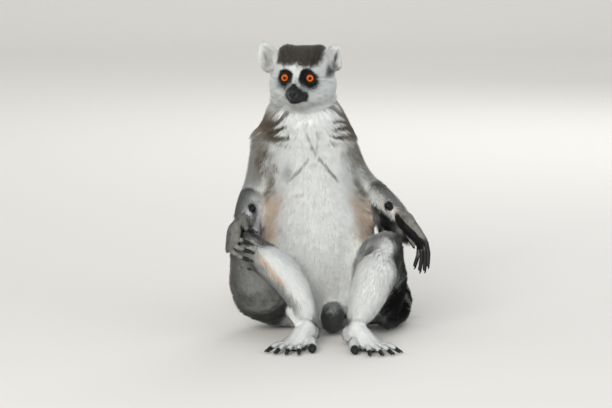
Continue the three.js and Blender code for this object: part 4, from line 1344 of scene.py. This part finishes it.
def bare_at(points, normals, owners):
    """1 where no hair grows: nose, lips, eyes, palms, soles and the wrist glands."""
    p = points / MM
    hx, hy, hz = in_head(points).T
    bare = ramp(8.2, 7.4, np.linalg.norm(np.stack([hx, hy + 60, hz + 10.0], 1) * [1, 0.8, 1.1], axis=1))
    bare = np.maximum(bare, dent(hz - mouth_rise(hy), 1.0) * (hy < -38))
    for middle, right_way, up_way, forward in opening_at.values():
        out = unit(points - middle)
        tilt = np.arccos(np.clip(out @ forward, -1, 1))
        around = np.arctan2(out @ up_way, out @ right_way)
        half = 1 / np.hypot(np.cos(around) / OPENING_WIDE, np.sin(around) / OPENING_HIGH)
        near = np.linalg.norm(points - middle, axis=1) < (EYE_RADIUS + 4) * MM
        bare = np.maximum(bare, near * (tilt < half + 0.05))
    for side, j in JOINTS.items():
        bare = np.maximum(bare, np.linalg.norm(p - gland_at[side], axis=1) < 6.4)
        mine = owners == PARTS.index(f"foot_{side}")
        bare = np.maximum(bare, mine * ((normals[:, 2] < -0.4) | (from_tip(p, f"foot_{side}") < 6)))
        mine = owners == PARTS.index(f"hand_{side}")
        reach = past_wrist(p, side)
        palm = (normals * back_of_hand(p, side)).sum(1) < PALM_TURNED[side]
        fingers_bare = from_tip(p, "hand_right") < 9 if side == "right" else reach > 39
        bare = np.maximum(bare, mine * ((palm & (reach > 4)) | fingers_bare))
    return bare


skin_corners = triangles_of(finished)
body_faces = len(skin_corners)
skin_corners = np.concatenate([skin_corners, *end_corners])
skin_points = np.concatenate([skin_points, *end_points])
skin_normals = np.concatenate([skin_normals, *end_normals])
one, two, three = skin_points[skin_corners].transpose(1, 0, 2)
skin_area = np.linalg.norm(np.cross(two - one, three - one), axis=1) / 2 / (10 * MM) ** 2
skin_middles = (one + two + three) / 3
on_body = sampled(part_fields, coarse_origin, coarse_step, skin_middles[:body_faces])
on_body[:, [PARTS.index(node) for node in ENDS]] = 0
skin_owner = np.concatenate([on_body.argmax(1), *end_owner])
owner_kind = np.array([kind_of(p) for p in PARTS])[skin_owner]
owner_kind[owner_kind == "wrist_gland"] = "forearm"
owner_kind[(owner_kind == "nose") | (owner_kind == "eye")] = "head"
in_front = in_head(skin_middles)[:, 1] < -9
on_breast = skin_middles[:, 1] / MM < -48

# Woolly hair: dull, with a faint sheen where it turns away and fine flecks of light and dark. Each
# lock's own colours are stored on its points.
hair, tree, out = new_material("woolly_coat")
markings_and_shade = add_node(tree, "ShaderNodeAttribute", attribute_name="markings_and_shade")
place = add_node(tree, "ShaderNodeTexCoord")
strands = add_node(
    tree, "ShaderNodeTexNoise", {"Vector": place.outputs["Object"], "Scale": 1 / (0.7 * MM), "Detail": 2.0}
)
flecks = add_node(
    tree, "ShaderNodeMapRange", {"Value": strands.outputs["Fac"], "To Min": 0.88, "To Max": 1.12}
)
shaded = add_node(
    tree, "ShaderNodeVectorMath", {0: markings_and_shade.outputs["Color"], 1: flecks.outputs[0]}, operation="MULTIPLY"
)
hair_surface = add_node(
    tree,
    "ShaderNodeBsdfPrincipled",
    {"Base Color": shaded.outputs[0], "Roughness": 0.82, "Specular IOR Level": 0.22, "Sheen Weight": 0.12,
     "Sheen Roughness": 0.5},
)
tree.links.new(hair_surface.outputs[0], out.inputs["Surface"])


def tile_of(p, node):
    """Where places lie on an unwrap of their part: round it and along it, each from 0 to 1."""
    if kind_of(node) == "tail":
        i = nearest_run(p)
        off, way = p - tail_middle[i], tail_ways[i]
        flat = unit(np.cross(way, [0, 0, 1.0]))
        up = np.cross(flat, way)
        round_it, along = np.arctan2((off * up).sum(1), (off * flat).sum(1)), i.astype(float)
    else:
        off = p - p.mean(0)
        way = np.array([0, 0, 1.0])
        if kind_of(node) not in ("head", "neck", "chest", "belly"):
            way = np.linalg.svd(off[:: max(1, len(off) // 2000)], full_matrices=False)[2][0]
        flat = unit(np.cross(way, [0.1, 1.0, 0.05]))
        round_it = np.arctan2(off @ np.cross(way, flat), off @ flat)
        along = off @ way
    along = (along - along.min()) / max(np.ptp(along), 1e-6)
    return np.stack([round_it / (2 * math.pi) + 0.5, along], 1)


# A lock is a three-sided spike, straight or with a ring of corners at its middle. Its patch on the
# unwrap lies at its root.
STRAIGHT_FACES = np.array([(0, 1, 2), (0, 3, 1), (1, 3, 2), (2, 3, 0)])
STRAIGHT_PATCH = np.array([(0, 0), (1, 0), (0.5, 0.15), (0.5, 1)])
ARCHED_FACES = np.array([
    (0, 1, 2), (0, 3, 4), (0, 4, 1), (1, 4, 5), (1, 5, 2), (2, 5, 3), (2, 3, 0),
    (3, 6, 4), (4, 6, 5), (5, 6, 3),
])
ARCHED_PATCH = np.array([(0, 0), (1, 0), (0.5, 0.12), (0.1, 0.55), (0.9, 0.55), (0.5, 0.65), (0.5, 1)])
PATCH_SIZE = 0.003
whole = np.minimum(whole, distances(cad_surface(ENDS), VOXEL, skin_low, skin_shape, 5, 9))
height_field = blurred(whole, 1.6 * MM / VOXEL)  # distance under the outline, with its joins smoothed


def drawn_together(roots, tips, size, share):
    """Tips pulled towards the middle of the tips of their neighbours, in tufts of that size."""
    warped = roots / size + 0.45 * np.stack([noise(roots, 2.3 * size, s) for s in (21, 22, 23)], 1)
    key = np.floor(warped).astype(np.int64) @ np.array([73856093, 19349663, 83492791])
    _, tuft = np.unique(key, return_inverse=True)
    count = np.bincount(tuft)
    middle = np.stack([np.bincount(tuft, tips[:, a]) / count for a in range(3)], 1)
    return tips + (middle[tuft] - tips) * share[:, None]


def roots_on(faces, total, chance):
    """Scatters locks over these triangles of the skin: their triangles, roots and normals."""
    closeness = np.array([LOCKS[k][2] for k in owner_kind[faces]])
    closeness = closeness * np.where((owner_kind[faces] == "head") & in_front[faces], 1.8, 1.0)
    spread = np.cumsum(skin_area[faces] * closeness)
    picked = np.searchsorted(spread / spread[-1], (np.arange(total) + chance.random(total)) / total)
    picked = faces[picked]
    a, b = chance.random((2, total))
    a, b = np.where(a + b > 1, 1 - a, a), np.where(a + b > 1, 1 - b, b)
    weights = np.stack([1 - a - b, a, b], 1)[..., None]
    corners = skin_corners[picked]
    roots = (skin_points[corners] * weights).sum(1)
    upright = unit((skin_normals[corners] * weights).sum(1))
    kept = bare_at(roots, upright, skin_owner[picked]) < 0.5
    return picked[kept], roots[kept], upright[kept]


def lock_corners(arched, p, middle, tip, side, upright, lie, wide):
    """The corners of each lock, the ways in which their normals lean, and how light each corner is."""
    half = (side.T * wide / 2).T
    ridge = (upright.T * wide * 0.32).T
    base = p - upright * 0.35
    if arched:
        corners = [
            base - half, base + half, base + ridge, middle - half * 0.85, middle + half * 0.85,
            middle + ridge * 0.85, tip,
        ]
        lean = [-side, side, upright * 0, -side, side, lie * 0.2, lie * 0.5]
        return corners, lean, [0.0, 0.0, 0.15, 0.85, 0.85, 0.9, 1.1]
    corners = [base - half * 1.25, base + half * 1.25, base + ridge * 1.2, tip]
    return corners, [-side, side, upright * 0, lie * 0.3], [0.0, 0.0, 0.15, 1.1]


def tiles_for(p, owners):
    """Each lock's place on the unwrap, which holds a tile for each part."""
    nodes = np.unique(owners)
    tiles = np.empty((len(p), 2))
    for i, node in enumerate(nodes):
        mine = owners == node
        spot = tile_of(p[mine], PARTS[node])
        tiles[mine, 0] = (i + 0.02 + 0.93 * spot[:, 0]) / len(nodes)
        tiles[mine, 1] = 0.02 + 0.95 * spot[:, 1]
    return tiles


def grow(piece, chosen, total, arched, seed):
    """Makes one piece of the coat on the chosen triangles of the skin."""
    chance = np.random.default_rng(seed)
    picked, roots, upright = roots_on(np.flatnonzero(chosen), int(total * LOCK_SHARE), chance)
    count = len(roots)
    kinds, owners = owner_kind[picked], skin_owner[picked]
    length, wide, _, draw, root_shade = np.array([LOCKS[k] for k in kinds]).T
    say = sampled(part_fields, coarse_origin, coarse_step, roots)
    ends = np.isin(kinds, ("hand", "foot"))
    say[ends] = np.eye(len(PARTS))[owners[ends]]

    # Lengths: short on the face and beside the ears, long at the cap's corners and the ears' rims.
    local = in_head(roots)
    on_face = (kinds == "head") * ramp(-8, -30, local[:, 1])
    on_face = on_face * ramp(36, 24, np.abs(local[:, 0])) * ramp(27, 17, local[:, 2])
    on_face = on_face * (1 - 0.7 * ramp(10, 22, np.abs(local[:, 0])) * ramp(0, -14, local[:, 2]))
    cap_corner = (kinds == "head") * dent((np.abs(local[:, 0]) - 19) / 11, 1.0) * ramp(17, 24, local[:, 2])
    by_ear = (kinds == "head") * ramp(23, 28, np.abs(local[:, 0]))
    by_ear = by_ear * ramp(2, 8, local[:, 2]) * ramp(24, 18, local[:, 2])
    length = length * (1 - 0.66 * on_face) * (1 - 0.5 * by_ear)
    wide = wide * (1 - 0.28 * on_face)
    ear_middle = np.where(local[:, :1] < 0, ear_at["right"], ear_at["left"])
    rim = np.hypot((local[:, 0] - ear_middle[:, 0]) / 12, (local[:, 2] - ear_middle[:, 2]) / 17)
    inner_edge = ramp(0, -6, np.abs(local[:, 0]) - np.abs(ear_middle[:, 0]))
    rim = (kinds == "ear") * np.maximum(ramp(0.6, 0.9, rim), inner_edge)
    length = length * (1 + 0.25 * rim) * chance.uniform(0.75, 1.2, count) + 4 * cap_corner
    wide = wide * chance.uniform(0.75, 1.25, count)

    # How deep the coat is over each root. Under the left forearm the hair hangs and is longer, and
    # carries the black painted shadow.
    cover = np.clip(-sampled(height_field, coarse_origin, VOXEL, roots) / MM - 0.6, 0.25, 18)
    cover = np.where(ends, 0.8, cover)
    for node in ENDS:
        on_digit = (kinds == node.split("_")[0]) * ramp(22, 14, from_tip(roots / MM, node))
        length = length * (1 - 0.4 * on_digit)
    cover = np.where(kinds == "ear", 0.9 + 0.7 * rim, cover)
    hanging = (owners == PARTS.index("forearm_left")) * ramp(-0.1, -0.7, upright[:, 2])
    length = np.maximum(length, 1.15 * cover) * (1 + 1.5 * hanging)
    lie = lie_of(roots, say, upright)
    side = np.cross(lie, upright)
    p = roots / MM
    woolly = np.where(np.isin(kinds, ("chest", "belly", "shank")), 0.6, 1.0)
    turn = (0.24 * noise(p, 26, 31) + 0.16 * noise(p, 9, 32) + chance.normal(0, 0.12, count)) * woolly
    lie = lie * np.cos(turn)[:, None] + side * np.sin(turn)[:, None]
    side = np.cross(lie, upright)

    # Each lock leaves the skin, lies over and ends near the outline of the coat.
    reach = np.sqrt(np.maximum(length**2 - cover**2, (0.45 * length) ** 2))
    rise = np.clip(0.90 + 0.08 * noise(p, 12, 33) + chance.normal(0, 0.07, count), 0.5, 1.12)
    rise = rise + (kinds == "head") * 0.14 + (kinds == "neck") * 0.22 * chance.random(count)
    rise = np.where(kinds == "ear", 1.0, rise) + 4.5 * cap_corner / cover
    spots = []
    for along, lift in ((0.5, 0.66), (1.0, 1.0)):
        at = p + lie * (reach * along)[:, None] + upright * (cover * lift * rise)[:, None]
        under = -sampled(height_field, coarse_origin, VOXEL, at * MM) / MM - 0.6
        wish = cover * (1 - lift * rise)
        inside = ramp(14, 6, under) * (kinds != "ear") * ~ends * (1 - hanging)
        spots.append(at + upright * (np.clip(under - wish, -5, 5) * 0.85 * inside)[:, None])
    middle, tip = spots
    tuft = float(np.clip(0.42 * length, 1.6, 6.5).mean())
    tip = drawn_together(p, tip, tuft, draw * (1 - 0.6 * on_face))
    middle = drawn_together(p, middle, tuft, 0.3 * draw)
    tip[:, 2] = np.maximum(tip[:, 2], 0.3)
    middle[:, 2] = np.maximum(middle[:, 2], 0.3)

    corners, lean, shades = lock_corners(arched, p, middle, tip, side, upright, lie, wide)
    pattern, patch = (ARCHED_FACES, ARCHED_PATCH) if arched else (STRAIGHT_FACES, STRAIGHT_PATCH)
    size = len(corners)
    corners = np.stack(corners, 1) * MM
    corners[..., 2] = np.maximum(corners[..., 2], 0.1 * MM)

    shown = np.where((kinds == "ear")[:, None], p, 0.5 * middle + 0.5 * tip)
    tone = paint(shown * MM, say, upright, chance.random(count))
    varied = 1 + chance.normal(0, 0.05, count) + 0.06 * noise(p, 5, 34) + 0.05 * noise(p, 2.4, 35)
    tone = tone * varied[:, None]
    shades = root_shade[:, None] + (1 - root_shade[:, None]) * np.array(shades)
    colours = np.clip(tone[:, None, :] * shades[..., None], 0, 1).reshape(-1, 3)

    triangles = (pattern[None] + size * np.arange(count)[:, None, None]).reshape(-1, 3)
    mesh = array_mesh(piece, corners.reshape(-1, 3), triangles)
    mesh.polygons.foreach_set("use_smooth", np.ones(len(triangles), bool))
    coloured(mesh, "markings_and_shade", colours)
    leaned = unit(upright[:, None, :] + np.stack(lean, 1) * 0.4).reshape(-1, 3)
    mesh.normals_split_custom_set_from_vertices(leaned.astype(np.float32))

    unwrap = mesh.uv_layers.new(name="OFBake")
    patch = (tiles_for(p, owners)[:, None, :] + patch * PATCH_SIZE).reshape(-1, 2)
    unwrap.data.foreach_set("uv", patch[triangles.ravel()].astype(np.float32).ravel())

    mesh.materials.append(hair)
    made = add_object(piece, mesh)
    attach(made, "root")


for seed, (piece, (kinds, total, arched)) in enumerate(COAT_PIECES.items()):
    chosen = np.isin(owner_kind, kinds)
    if piece == "coat_face":
        chosen &= in_front
    elif piece == "coat_crown":
        chosen &= (owner_kind == "ear") | ~in_front
    elif piece == "coat_breast":
        chosen &= on_breast
    elif piece == "coat_back":
        chosen &= ~on_breast
    grow(piece, chosen, total, arched, seed + 1)
